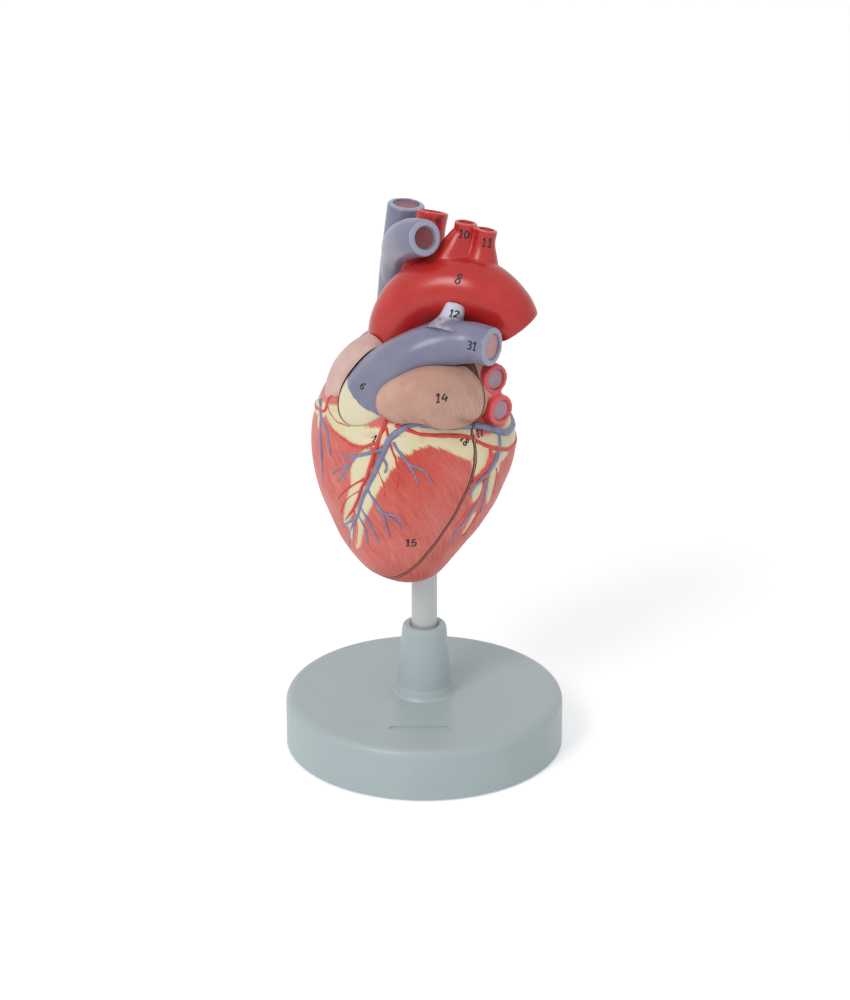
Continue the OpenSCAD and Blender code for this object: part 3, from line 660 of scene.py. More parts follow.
def swell(piece, lumps):
    """Raises the fat a little and gives the muscle slow uneven swellings, as a hand-carved
    master has. Sines of the place make the swellings."""
    place = to_heart(points_of(piece))
    fat = stroke_depth(place, fat_strokes)
    x, y, z = place.T
    wave = (np.sin(x / 7 + z / 9 + 1) * np.sin(y / 8 - z / 11) + 0.6 * np.sin(x / 4 - z / 5 + y / 6)
            + 0.4 * np.sin(z / 3.1 + x / 5 + y / 3.7))
    push_out(piece, lumps * wave + 0.35 * np.clip((fat + 0.8) / 2.4, 0, 1) ** 2 * (z < 160))


def paint_marks(piece):
    """Stores where the painter's areas lie: fat, atria and the run of the muscle's fibres."""
    place = to_heart(points_of(piece))
    angle, row = body_at(place)
    radius = np.linalg.norm(place[:, :2] - row[:, :2], axis=1)
    wide = np.where(place[:, 0] > row[:, 0], row[:, 3], row[:, 2])
    deep = np.where(place[:, 1] > row[:, 1], row[:, 5], row[:, 4])
    turn = np.radians(angle)
    own = np.hypot(wide * np.cos(turn), deep * np.sin(turn))
    above = np.clip((place[:, 2] - 150) / 4, -1, 1) * 6
    keep(piece, "fat", stroke_depth(place, fat_strokes))
    keep(piece, "atrium", np.where(place[:, 2] > 170, 6.0, np.minimum(radius - own - 0.8, above)))
    across = 40 * turn + 0.7 * place[:, 2]
    keep(piece, "fibre", np.stack([across, -place[:, 2], 0 * across], 1))
    flush = np.array([[18, -36, 142]])
    keep(piece, "flush", np.exp(-(np.linalg.norm(place - flush, axis=1) / 21) ** 2))


def seam_shade():
    """Group that darkens paint close to the seam, as a painted shadow of the gap between the two
    halves.
    """
    group, given, out = new_group(
        "seam_shade", [("Colour", "colour"), ("Reach", "value", 0.8)], [("Colour", "colour")])
    normal = to_row(back_way) * 1000
    middle = to_row(seam_place) @ normal
    place = object_place(group)
    depth = add(group, "ShaderNodeVectorMath", {0: place, 1: tuple(normal)},
                operation="DOT_PRODUCT").outputs["Value"]
    depth = number(group, "ABSOLUTE", number(group, "SUBTRACT", depth, float(middle)))
    depth = number(group, "MULTIPLY", depth, 1000.0)
    share = ramp(group, depth, 0.55, given.outputs["Reach"], 1.0, 0.0)
    # Dark brown painted along the seam as the shadow in the gap between the halves
    seam_gap_shadow = colour(36, 18, 12)
    feed(group, out.inputs["Colour"], blend_colours(group, share, given.outputs["Colour"], seam_gap_shadow))
    return group


def brushed_streaks():
    """Group for marks drawn along the fibres: a broad and a fine streak, each from 0 to 1."""
    group, given, out = new_group(
        "brushed_streaks", [("Fibre", "vector")],
        [("Broad", "value"), ("Fine", "value"), ("Cloud", "value")])
    for name, across, along, detail in (("Broad", 0.55, 0.09, 2.0), ("Fine", 1.5, 0.16, 3.0)):
        drawn = add(group, "ShaderNodeMapping",
                    {"Vector": given.outputs["Fibre"], "Scale": (across, along, 1.0)}).outputs[0]
        value = ramp(group, noise(group, drawn, 1.0, detail, 0.6), 0.25, 0.75)
        feed(group, out.inputs[name], value)
    place = object_place(group)
    feed(group, out.inputs["Cloud"], ramp(group, noise(group, place, 60.0, 3.0), 0.3, 0.7))
    return group


def attribute(tree, name, output="Fac"):
    """Value stored on the mesh."""
    return add(tree, "ShaderNodeAttribute", attribute_name=name).outputs[output]


seam_group = seam_shade()
streak_group = brushed_streaks()


def near_seam(tree, tint):
    """Colour darkened close to the seam, as a painted shadow of the gap between the halves."""
    return add(tree, "ShaderNodeGroup", {"Colour": tint}, node_tree=seam_group).outputs["Colour"]


def wall_paint_material():
    """Muscle in brushed reds, cream fat feathered into it, and tan atria, under satin varnish."""
    material, tree, shader = new_material("muscle_and_fat_paint")
    streaks = add(tree, "ShaderNodeGroup", {"Fibre": attribute(tree, "fibre", "Vector")},
                  node_tree=streak_group)
    broad, fine, cloud = (streaks.outputs[k] for k in ("Broad", "Fine", "Cloud"))
    red = blend_colours(tree, broad, colour(206, 84, 74), colour(230, 126, 114))
    red = blend_colours(tree, number(tree, "MULTIPLY", fine, 0.42), red, colour(184, 56, 48))
    red = blend_colours(tree, number(tree, "MULTIPLY", cloud, 0.4), red, colour(234, 144, 132))
    flush = attribute(tree, "flush")
    hot = number(tree, "MULTIPLY", flush, 0.85)
    red = blend_colours(tree, hot, red, blend_colours(tree, fine, colour(212, 80, 62),
                                                      colour(188, 46, 34)))
    cream = blend_colours(tree, cloud, colour(224, 212, 168), colour(232, 222, 186))
    feather = number(tree, "ADD", number(tree, "MULTIPLY", broad, 1.1),
                     number(tree, "MULTIPLY", fine, 0.9))
    feather = number(tree, "MULTIPLY", number(tree, "SUBTRACT", feather, 1.0),
                     number(tree, "ADD", number(tree, "MULTIPLY", flush, 1.3), 0.45))
    edge = number(tree, "ADD", attribute(tree, "fat"), feather)
    fat = ramp(tree, edge, -1.1, 0.6)
    tint = blend_colours(tree, fat, red, cream)
    tan = blend_colours(tree, cloud, colour(202, 158, 142), colour(214, 174, 158))
    soft = number(tree, "ADD", attribute(tree, "atrium"), ramp(tree, cloud, 0.0, 1.0, -0.4, 0.4))
    tint = blend_colours(tree, ramp(tree, soft, -0.3, 0.4), tint, tan)
    height = number(tree, "ADD", number(tree, "MULTIPLY", broad, 0.6),
                    number(tree, "MULTIPLY", fine, 0.5))
    height = number(tree, "MULTIPLY", height, ramp(tree, fat, 0.0, 1.0, 1.0, 0.15))
    rough = ramp(tree, fine, 0.0, 1.0, 0.36, 0.5)
    into(tree, shader, Base_Color=near_seam(tree, tint), Roughness=rough,
         Normal=bump(tree, height, 0.00022, 0.7), Specular_IOR_Level=0.42)
    return material


def plain(name, tint):
    """Bare vinyl."""
    return moulded(name, tint, 0.45)


seam_vinyl = plain("seam_vinyl", colour(214, 150, 138))
lining_vinyl = plain("chamber_vinyl", colour(206, 128, 120))
wall_materials = (wall_paint_material(), seam_vinyl, lining_vinyl)

rear_wall = heart_piece("rear_heart_wall", egg(body_rows, 220, 300), wall_materials)
fuse(rear_wall, 0.0007, 6,
     heart_piece("right_atrium", ball([-24, 8, 160], [18, 20, 20])),
     heart_piece("left_atrium", ball([12, 6, 167], [21, 15, 17])),
     heart_piece("right_lobe", right_lobe()),
     heart_piece("left_lobe", left_lobe()))
swell(rear_wall, 0.16)
paint_marks(rear_wall)
cut_half(rear_wall, 1, wall_materials)
plug = heart_piece("plug", egg(body_rows, 80, 120), wall_materials, seam_face)
combine(plug, "INTERSECT",
        heart_piece("plug_way", backward_space(trunk_path, 40, 72, -0.4, -0.6, 1.5),
                    wall_materials, seam_face))
combine(rear_wall, "UNION", plug)
cut_chambers(rear_wall, wall_materials)
sink_seats(rear_wall, wall_materials, (-1, 9.05, 2.05), (-1, 3.25, 4.05))
holes = [cylinder([0, 0, 84], [0, 0, 1], 20.05, 8.05), cylinder([0, 0, 60], [0, 0, 1], 25, 5.9)]
for path in (trunk_path, aorta_path, cava_path, lower_cava_path, *left_vein_paths,
             *right_vein_paths):
    holes.append(tube(np.array(path, float) - [0, 0, 0, 0.5], 60, 72))
for hole in holes:
    combine(rear_wall, "DIFFERENCE", heart_piece("hole", hole, wall_materials, lining))
shade_smooth(rear_wall)
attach(rear_wall, "heart")
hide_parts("rear_wall")

# ---- Front half of the heart --------------------------------------------------------------
# The front of both ventricles is one casting. It comes off forwards past the trunk and the
# aorta, so it is open behind them, and two holes and two magnets seat it on the rear half.


def clear_vessels(piece, materials):
    """Cuts the spaces that the trunk and the aorta need as the front comes off."""
    wide = np.array([0, 0, 0, 0.4])
    tools = [backward_space(trunk_path, 60, 96, 0.5, -0.6),
             backward_space(aorta_path[:5], 40, 96, 0.5, -0.3),
             tube(trunk_path + wide, 60, 96), tube(aorta_path + wide, 60, 96)]
    for tool in tools:
        combine(piece, "DIFFERENCE", heart_piece("cutter", tool, materials, seam_face))


front_wall = heart_piece("front_heart_wall", egg(body_rows, 300, 420), wall_materials)
swell(front_wall, 0.16)
paint_marks(front_wall)
cut_half(front_wall, -1, wall_materials)
combine(front_wall, "DIFFERENCE", heart_piece("cutter", right_lobe(), wall_materials, seam_face),
        heart_piece("cutter", left_lobe(), wall_materials, seam_face))
cut_chambers(front_wall, wall_materials)
clear_vessels(front_wall, wall_materials)
sink_seats(front_wall, wall_materials, (-5, 1, 2.08), (-3.25, 1, 4.05))
shade_smooth(front_wall)
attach(front_wall, "front")
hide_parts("front_wall")

# ---- Auricles -----------------------------------------------------------------------------
# The two ear-shaped lobes in front of the atria are part of the front half. The left one is
# tan with fine hatching at its right end, and its lower edge is gathered in small pleats. The
# right one is pinker and smoother.


def auricle_paint(name, light, dark, hatching):
    """Tan vinyl paint with soft clouds, thin pale hatch strokes that stand almost upright, and
    painted shade in the hollows of the pleats.
    """
    material, tree, shader = new_material(name)
    place = object_place(tree)
    cloud = ramp(tree, noise(tree, place, 75.0, 4.0, 0.6), 0.3, 0.72)
    lines = attribute(tree, "hatch", "Vector")
    drawn = add(tree, "ShaderNodeMapping", {"Vector": lines, "Scale": (1.5, 0.09, 0)}).outputs[0]
    strokes = ramp(tree, noise(tree, drawn, 1.0, 2.0), 0.48, 0.62)
    share = number(tree, "MULTIPLY", strokes, attribute(tree, "hatched"))
    tint = blend_colours(tree, cloud, dark, light)
    tint = blend_colours(tree, number(tree, "MULTIPLY", share, hatching), tint,
                         colour(228, 196, 180))
    # Brown painted into the hollows of the pleats as their shade
    tint = blend_colours(tree, number(tree, "MULTIPLY", attribute(tree, "pleat_shade"), 0.55), tint,
                         colour(136, 92, 78))
    fine = noise(tree, place, 900.0, 3.0)
    height = number(tree, "ADD", number(tree, "MULTIPLY", share, 0.8),
                    number(tree, "MULTIPLY", fine, 0.3))
    rough = ramp(tree, cloud, 0, 1, 0.4, 0.5)
    into(tree, shader, Base_Color=near_seam(tree, tint), Roughness=rough,
         Normal=bump(tree, height, 0.00015, 0.7), Specular_IOR_Level=0.4)
    return material


def auricle(name, shape, paint, pleats):
    """Lobe cut at the seam and clear of the vessels. Pleats press its lower edge in and out, and
    their pressed-in hollows are stored to be painted darker as shade.
    """
    materials = (paint, seam_vinyl, lining_vinyl)
    piece = heart_piece(name + "_lobe", shape, materials)
    x, y, z = to_heart(points_of(piece)).T
    wave = 0.12 * np.sin(x / 5 + z / 6) * np.sin(y / 5 - z / 7 + 1)
    low = np.clip((164 - z) / 5, 0, 1)
    notch = np.maximum(0, np.cos(2 * np.pi * (x + 2.0) / 8.5)) ** 6 * low
    push_out(piece, wave - pleats * notch)
    keep(piece, "pleat_shade", notch * (pleats > 0))
    right = 1000 * points_of(piece)[:, 0]
    keep(piece, "hatch", np.stack([right + 0.25 * z, z, 0 * z], 1))
    keep(piece, "hatched", np.clip((right - 8) / 4, 0, 1) * np.clip((z - 160) / 4, 0, 1)
         * np.clip((176 - z) / 5, 0, 1))
    cut_half(piece, -1, materials)
    cut_chambers(piece, materials)
    clear_vessels(piece, materials)
    shade_smooth(piece)
    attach(piece, "front")
    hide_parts(name)
    return piece


left_tan = auricle_paint("left_auricle_paint", colour(211, 168, 150), colour(196, 148, 130), 0.5)
left_auricle = auricle("left_auricle", left_lobe(150, 240), left_tan, 0.7)
right_tan = auricle_paint("right_auricle_paint", colour(222, 190, 180), colour(205, 166, 156), 0.15)
auricle("right_auricle", right_lobe(240), right_tan, 0)

# ---- Great vessels ------------------------------------------------------------------------
# Each vessel is a separate casting set into the rear half. Where it is cut, a painted rim
# stands round a sunk floor.


recess_depth = 1.0


def cut_end(piece, path, wall, depth, materials, floor=2):
    """Sinks a round floor into the end of a tube and leaves a rim. The recess widens a little at
    its mouth."""
    path = np.asarray(path, float)
    at, along, across, up = path_frames(path, np.array([len(path) - 1.0]))
    rim = circles(across, up, 72)
    at, along = at[0], along[0]
    radius = at[3] - wall
    heights = np.array([-depth, -depth + 0.25, -0.5, -0.2, 0.0, 1.0])
    widths = radius + np.array([-0.3, 0.0, 0.0, 0.12, 0.4, 1.2])
    points = at[:3] + heights[:, None, None] * along + widths[:, None, None] * rim
    ends = np.stack([at[:3] - depth * along, at[:3] + along])
    cutter = heart_piece("cutter", (np.vstack([points.reshape(-1, 3), ends]),
                                    ring_faces(len(heights), 72)), materials, 1)
    index = np.full(len(cutter.data.polygons), 1, np.int32)
    index[-144:-72] = floor
    cutter.data.polygons.foreach_set("material_index", index)
    combine(piece, "DIFFERENCE", cutter)


def end_frame(path):
    """Middle of a tube's cut end, the way out of it and the tube's radius there."""
    path = np.asarray(path, float)
    at, along, _, _ = path_frames(path, np.array([len(path) - 1.0]))
    return at[0, :3], along[0], at[0, 3]


def vessel_paint(name, main, light, rim, root=None):
    """Smooth brushed enamel, lighter in soft clouds, with its own colour on the cut rims."""
    material, tree, shader = new_material(name)
    place = object_place(tree)
    cloud = ramp(tree, noise(tree, place, 45.0, 3.0, 0.55), 0.3, 0.75)
    speck = noise(tree, place, 1400.0, 2.0)
    tint = blend_colours(tree, number(tree, "MULTIPLY", cloud, 0.6), main, light)
    tint = blend_colours(tree, ramp(tree, attribute(tree, "rim"), 0.35, 0.75, 1.0, 0.0), tint, rim)
    if root:
        edge = number(tree, "ADD", attribute(tree, "root"),
                      ramp(tree, noise(tree, place, 500.0, 2.0), 0.3, 0.7, -0.25, 0.25))
        tint = blend_colours(tree, ramp(tree, edge, -0.15, 0.15, 1.0, 0.0), tint, root)
    into(tree, shader, Base_Color=tint, Roughness=ramp(tree, cloud, 0, 1, 0.24, 0.32),
         Normal=bump(tree, speck, 0.00001, 0.5), Specular_IOR_Level=0.5)
    return material


def floor_paint(name, middle, edge):
    """Matt paint on a sunk floor, darker in patches."""
    material, tree, shader = new_material(name)
    place = object_place(tree)
    cloud = ramp(tree, noise(tree, place, 260.0, 3.0, 0.5), 0.25, 0.8)
    into(tree, shader, Base_Color=blend_colours(tree, cloud, edge, middle), Roughness=0.55,
         Normal=bump(tree, cloud, 0.00006))
    return material


def vessel(name, paths, ends, materials, softness=5, voxel=0.00055):
    """Casting of one or more joined tubes with their ends recessed."""
    pieces = [heart_piece(name, tube(path, 12 * len(path), 96), materials) for path in paths]
    piece = pieces[0]
    fuse(piece, voxel, softness, *pieces[1:])
    place = to_heart(points_of(piece))
    rim = np.full(len(place), 9.0)
    for path, *_ in ends:
        middle, out, radius = end_frame(path)
        depth = (middle - place) @ out
        far = np.linalg.norm(place - middle, axis=1) > radius + 1.5
        rim = np.minimum(rim, np.where(far, 9.0, depth))
    keep(piece, "rim", rim)
    for path, wall, *floor in ends:
        cut_end(piece, path, wall, recess_depth, materials, *floor)
    shade_smooth(piece)
    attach(piece, "heart")
    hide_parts(name)
    return piece


vein_colours = colour(122, 122, 148), colour(146, 146, 168), colour(162, 166, 186)
trunk_materials = (vessel_paint("trunk_blue_paint", *vein_colours, colour(228, 219, 184)),
                   floor_paint("trunk_rim_wall", colour(160, 150, 168), colour(140, 120, 140)),
                   floor_paint("trunk_floor", colour(212, 164, 166), colour(200, 148, 150)))
right_branch_path = [[14, -14, 187, 8], [6, -2, 188, 6], [-2, 14, 187, 6], [-14, 30, 187, 6.5]]
trunk = vessel("pulmonary_trunk", [trunk_path, right_branch_path],
               [(trunk_path, 2.6), (right_branch_path, 2)], trunk_materials)
blue_starts = 1.48  # in stations of the trunk's path
root_at, root_way, _, _ = path_frames(trunk_path, np.array([blue_starts]))
keep(trunk, "root", (to_heart(points_of(trunk)) - root_at[0, :3]) @ root_way[0])

artery_materials = (vessel_paint("aorta_red_paint", colour(190, 34, 30), colour(208, 62, 58),
                                 colour(218, 90, 88)),
                    floor_paint("artery_rim_wall", colour(205, 70, 68), colour(170, 40, 42)),
                    floor_paint("artery_floor", colour(150, 74, 76), colour(132, 58, 60)))
arch_branch_paths = [
    [[-6, 6, 204, 11], [-6.5, 10, 218, 7.6], [-6.5, 12, 227, 6.5], [-6.5, 14, 234.5, 6.7]],
    [[6, 8, 206, 13], [9, 10.5, 217, 8.5], [10.9, 12, 226, 4.9], [11.5, 13, 233.4, 4.6]],
    [[15, 11, 204, 13], [18, 14, 216, 8], [18.9, 15.4, 225, 4.8], [19.5, 16.5, 231, 4.6]],
]
branch_root = [[2, 7, 204, 13], [6, 9, 216, 9.5], [8.6, 10, 223, 6.4], [10.2, 11.4, 229, 4]]
aorta = vessel("aorta", [aorta_path, *arch_branch_paths, branch_root],
               [(aorta_path, 3), *((path, 1.6) for path in arch_branch_paths)],
               artery_materials)

cava_materials = (vessel_paint("cava_blue_paint", *vein_colours),
                  floor_paint("cava_rim_wall", colour(150, 146, 166), colour(120, 104, 124)),
                  floor_paint("cava_floor", colour(160, 104, 112), colour(144, 88, 98)),
                  # The side branch's floor is painted darker than the main floor, as painted shade
                  # in its recess
                  floor_paint("cava_branch_floor", colour(128, 62, 66), colour(108, 48, 52)))
cava_branch_path = [[-29, 19, 198, 7], [-23, 13, 212, 8], [-16, 6, 220.5, 8.5],
                    [-6, -1, 226.5, 8.4], [4.5, -5, 229.5, 7.7]]
vessel("superior_vena_cava", [cava_path, cava_branch_path],
       [(cava_path, 2.6), (cava_branch_path, 3, 3)], cava_materials, 30)
vessel("inferior_vena_cava", [lower_cava_path], [(lower_cava_path, 2.2)], cava_materials)

lung_materials = (vessel_paint("lung_vein_red_paint", colour(214, 66, 70), colour(228, 96, 98),
                               colour(230, 92, 96)),
                  floor_paint("lung_vein_rim_wall", colour(214, 90, 92), colour(180, 60, 66)),
                  floor_paint("lung_vein_floor", colour(182, 156, 168), colour(170, 140, 154)))
left_web_path = [[16, 8, 165, 6], [25, 7.1, 165.3, 5.4], [31.5, 5.8, 165.4, 4.8]]
vessel("left_pulmonary_veins", [*left_vein_paths, left_web_path],
       [(path, 2.1) for path in left_vein_paths], lung_materials, 14)
right_web_path = [[0, 22, 163.5, 6.4], [-9, 30, 164.6, 5.6], [-15.2, 34.6, 164.6, 4.9]]
vessel("right_pulmonary_veins", [*right_vein_paths, right_web_path],
       [(path, 2.1) for path in right_vein_paths], lung_materials, 14)
ligament_path = [[20, -11, 192.5, 10.5], [19.7, -8.8, 195.6, 7.4], [19.2, -6.2, 199, 5],
                 [18.6, -3, 203, 4.2]]


def ligament_paint():
    """Pale enamel that fades into the trunk's blue at the foot."""
    material, tree, shader = new_material("ligament_pale_paint")
    place = object_place(tree)
    cloud = ramp(tree, noise(tree, place, 300.0, 3.0, 0.55), 0.3, 0.75)
    high = number(tree, "ADD", attribute(tree, "above_trunk"), ramp(tree, cloud, 0, 1, -0.4, 0.4))
    blue = blend_colours(tree, cloud, *vein_colours[:2])
    pale = blend_colours(tree, cloud, colour(196, 202, 218), colour(214, 219, 230))
    into(tree, shader, Base_Color=blend_colours(tree, ramp(tree, high, 0.4, 3.4), blue, pale),
         Roughness=ramp(tree, cloud, 0, 1, 0.26, 0.34), Normal=bump(tree, cloud, 0.00008, 0.5))
    return material


ligament = vessel("arterial_ligament", [ligament_path], [], (ligament_paint(),))
place = to_heart(points_of(ligament))
middle = smooth_rows(trunk_path, np.linspace(3, 6, 120))
away = np.linalg.norm(place[:, None] - middle[None, :, :3], axis=2) - middle[None, :, 3]
keep(ligament, "above_trunk", away.min(1))

# ---- Coronary vessels ---------------------------------------------------------------------
# The heart's own arteries (red) and veins (blue) are raised on the casting and painted. Each
# runs over the muscle, half sunk in it, thinner towards its tip.
front_arteries = [
    [(157, 286, 0.99), (151, 283, 0.93), (146, 280, 0.87), (140, 277, 0.81), (133, 274, 0.74),
     (127, 270, 0.68), (120, 266, 0.62), (113, 258, 0.56), (109, 252, 0.37)],
    [(133, 274, 0.62), (127, 263, 0.5), (119, 252, 0.31)],
    [(149, 282, 0.74), (146, 273, 0.68), (145, 267, 0.62), (145, 262, 0.56), (148, 248, 0.31)],
    [(161, 240, 0.93), (158, 235, 0.87), (153, 236, 0.87), (151, 226, 0.81), (149, 210, 0.81),
     (149, 190, 0.81)],
    [(155, 238, 0.68), (152, 250, 0.5), (152, 261, 0.3)],
    [(156, 286, 0.74), (153, 288, 0.68), (148, 290, 0.62), (144, 292, 0.5), (140, 293, 0.31)],
    [(156, 294, 1.05), (155, 300, 0.99), (153, 310, 0.99), (152, 325, 0.93), (151, 335, 0.93),
     (149, 343, 0.93)],
    [(128, 271, 0.43), (120, 259, 0.31), (112, 250, 0.3)],
    [(118, 264, 0.43), (108, 262, 0.31), (99, 256, 0.3)],
    [(140, 293, 0.31), (131, 294, 0.3)],
    [(141, 277, 0.37), (134, 284, 0.3), (127, 287, 0.3)],
]
rear_arteries = [
    [(151, 335, 0.96), (147, 346, 0.96), (144, 354, 0.96), (140.5, 370, 0.9), (140, 390, 0.83),
     (142, 415, 0.77)],
    [(144.5, 352, 0.83), (140, 351, 0.77), (135, 345, 0.64), (132, 339, 0.45)],
    [(134, 348, 0.7), (123, 348, 0.64), (117, 342, 0.51), (111, 338, 0.32)],
    [(115, 354, 0.45), (104, 352, 0.3)],
    [(135, 356, 0.51), (122, 363, 0.32)],
    [(149, 208, 0.83), (150, 190, 0.83), (150, 160, 0.83), (147, 120, 0.83), (145, 100, 0.77)],
    [(145, 100, 0.77), (130, 98, 0.7), (112, 96, 0.58), (98, 94, 0.38)],
    [(148, 140, 0.64), (138, 144, 0.51), (126, 148, 0.32)],
    [(146, 112, 0.58), (134, 118, 0.45), (120, 122, 0.3)],
    [(147, 395, 0.64), (136, 398, 0.51), (122, 402, 0.32)],
]
front_veins = [
    [(153, 350, 1.53), (154.5, 338, 1.53), (155.5, 325, 1.53), (156.5, 314, 1.53), (157, 305, 1.46),
     (155, 298, 1.39), (151, 290, 1.39), (146, 286, 1.31), (142, 283, 1.24), (137, 280, 1.17),
     (130, 276, 1.02), (123, 271, 0.95), (115, 266, 0.8), (112, 262, 0.73)],
    [(112, 262, 0.66), (108, 253, 0.58), (104, 244, 0.33)],
    [(112, 262, 0.58), (103, 252, 0.44), (95, 242, 0.3)],
    [(114, 264, 0.58), (108, 259, 0.44), (101, 254, 0.3)],
    [(119, 270, 0.66), (111, 274, 0.51), (104, 278, 0.3)],
    [(115, 267, 0.58), (108, 268, 0.44), (101, 267, 0.3)],
    [(128, 276, 0.73), (123, 281, 0.66), (119, 286, 0.58), (118, 299, 0.33)],
    [(119, 286, 0.51), (115, 295, 0.44), (112, 302, 0.3)],
    [(121, 284, 0.51), (114, 287, 0.4), (107, 288, 0.3)],
    [(149, 292, 0.8), (145, 296, 0.73), (141, 300, 0.58), (133, 306, 0.33)],
    [(141, 300, 0.58), (139, 308, 0.44), (133, 314, 0.3)],
    [(146, 284, 0.88), (144, 277, 0.8), (141, 267, 0.73), (138, 256, 0.33)],
    [(141, 267, 0.66), (135, 262, 0.58), (128, 258, 0.3)],
    [(135, 262, 0.51), (131, 258, 0.4), (127, 254, 0.3)],
    [(137, 264, 0.51), (133, 256, 0.4), (129, 249, 0.3)],
    [(143, 284, 0.73), (140, 287, 0.66), (137, 286, 0.58)],
    [(154, 222, 0.95), (153, 228, 0.95), (149, 234, 0.8), (146, 243, 0.66), (137, 248, 0.36)],
    [(149, 233, 0.66), (143, 236, 0.58), (134, 239, 0.51), (123, 239, 0.3)],
]
rear_veins = [
    [(154.5, 338, 1.55), (153, 350, 1.55), (150, 360, 1.6), (146.5, 374, 1.6), (146, 397, 1.7),
     (148, 422, 1.9), (150, 446, 2.05)],
    [(148, 364, 1.0), (141, 358, 0.95), (137, 353, 0.96), (134, 349, 0.81), (130, 342, 0.67),
     (125, 340, 0.37)],
    [(131, 350, 0.74), (125, 352, 0.59), (115, 357, 0.3)],
    [(131, 349, 0.74), (120, 348, 0.59), (110, 342, 0.44), (102, 340, 0.3)],
    [(150, 90, 1.18), (134, 103, 1.04), (116, 101, 0.81), (101, 99, 0.52)],
    [(152, 60, 0.81), (140, 62, 0.67), (126, 58, 0.37)],
    [(128, 102, 0.67), (118, 112, 0.52), (108, 118, 0.3)],
    [(134, 103, 0.67), (124, 92, 0.52), (114, 84, 0.3)],
]


def raised_vessel(route, turns=20):
    """Tube whose middle follows a route on the body, with slight bends and swellings of its
    own and a rounded tip: near each end the radius r shrinks to r sqrt(1 - t^2)."""
    row = np.asarray(route, float)
    row = smooth_rows(row, np.linspace(0, len(row) - 1, 9 * (len(row) - 1) + 1))
    step = np.arange(len(row))
    phase = row[0, 0] + row[0, 1]
    row[:, 0] += 0.06 * np.sin(0.8 * step + phase)
    row[:, 1] += 0.15 * np.sin(0.55 * step + 2 * phase)
    row[:, 2] *= 1 + 0.05 * np.sin(0.9 * step + phase)
    middle = on_body(row[:, :2])
    along = unit(np.gradient(middle, axis=0))
    start, tip = (middle[k] + s * along[k] * row[k, 2] * np.array([[0.9], [0.6], [0.3]])
                  for k, s in ((0, -1), (-1, 1)))
    middle = np.vstack([start, middle, tip[::-1]])
    cap = np.sqrt(1 - np.array([0.9, 0.6, 0.3]) ** 2)
    radius = np.concatenate([row[0, 2] * cap, row[:, 2], row[-1, 2] * cap[::-1]])
    along = np.vstack([along[[0] * 3], along, along[[-1] * 3]])
    axis = np.array([-5.0, 4.0, 0.0])
    out = (middle - axis) * [1, 1, 0] + [0, 0, 0.001]
    across = unit(np.cross(out, along))
    rim = circles(across, np.cross(along, across), turns)
    points = middle[:, None] + radius[:, None, None] * rim
    ends = np.stack([middle[0] - along[0] * radius[0] * 0.1,
                     middle[-1] + along[-1] * radius[-1] * 0.1])
    return np.vstack([points.reshape(-1, 3), ends]), ring_faces(len(middle), turns)


def coronary_paint(name, main, light):
    """Brushed enamel on a thin raised vessel, worn lighter in places."""
    material, tree, shader = new_material(name)
    place = object_place(tree)
    cloud = ramp(tree, noise(tree, place, 260.0, 3.0, 0.6), 0.3, 0.75)
    tint = blend_colours(tree, cloud, main, light)
    into(tree, shader, Base_Color=near_seam(tree, tint), Normal=bump(tree, cloud, 0.00008),
         Roughness=ramp(tree, cloud, 0, 1, 0.36, 0.46))
    return material


def coronary_set(name, routes, side, paint):
    """All arteries or veins of one half as one piece, cut at the seam."""
    materials = (paint, seam_vinyl)
    pieces = [heart_piece("vessel", raised_vessel(route), materials) for route in routes]
    piece = combine(pieces[0], "UNION", *pieces[1:])
    piece.name = name + "_relief"
    cut_half(piece, side, materials)
    if side < 0:
        clear_vessels(piece, materials)
    shade_smooth(piece)
    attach(piece, "heart" if side > 0 else "front")
    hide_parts(name)


red_enamel = coronary_paint("coronary_artery_paint", colour(206, 54, 48), colour(226, 88, 78))
blue_enamel = coronary_paint("cardiac_vein_paint", colour(118, 120, 154), colour(144, 146, 176))
coronary_set("front_coronary_arteries", front_arteries, -1, red_enamel)
coronary_set("rear_coronary_arteries", rear_arteries, 1, red_enamel)
coronary_set("front_cardiac_veins", front_veins, -1, blue_enamel)
coronary_set("rear_cardiac_veins", rear_veins, 1, blue_enamel)

# ---- Pins and magnets ---------------------------------------------------------------------
# Two white plastic pins, pressed into the rear half, guide the front half on. Two pairs of
# nickel-plated magnets, glued in shallow seats in both seam faces, hold it there.
finish_node("locating_pins", moulded("pin_white_plastic", colour(222, 222, 214), 0.4))
for name in ("rear_magnets", "front_magnets"):
    finish_node(name, moulded(name + "_nickel", colour(190, 192, 194), 0.25, Metallic=1.0,
                              grain_scale=2600.0))

# ---- Valves and papillary muscles ---------------------------------------------------------
# Small vinyl castings inside the chambers: cream valve leaflets, and the reddish muscles with
# the strings that reach up to them. They are painted before they are glued in.
for name in ("mitral_valve", "tricuspid_valve", "aortic_valve"):
    finish_node(name, moulded(name + "_cream", colour(232, 217, 180), 0.45, grain_scale=600.0))
for name in ("left_papillary_muscles", "right_papillary_muscles"):
    finish_node(name, moulded(name + "_red", colour(206, 120, 108), 0.45, grain_scale=500.0))

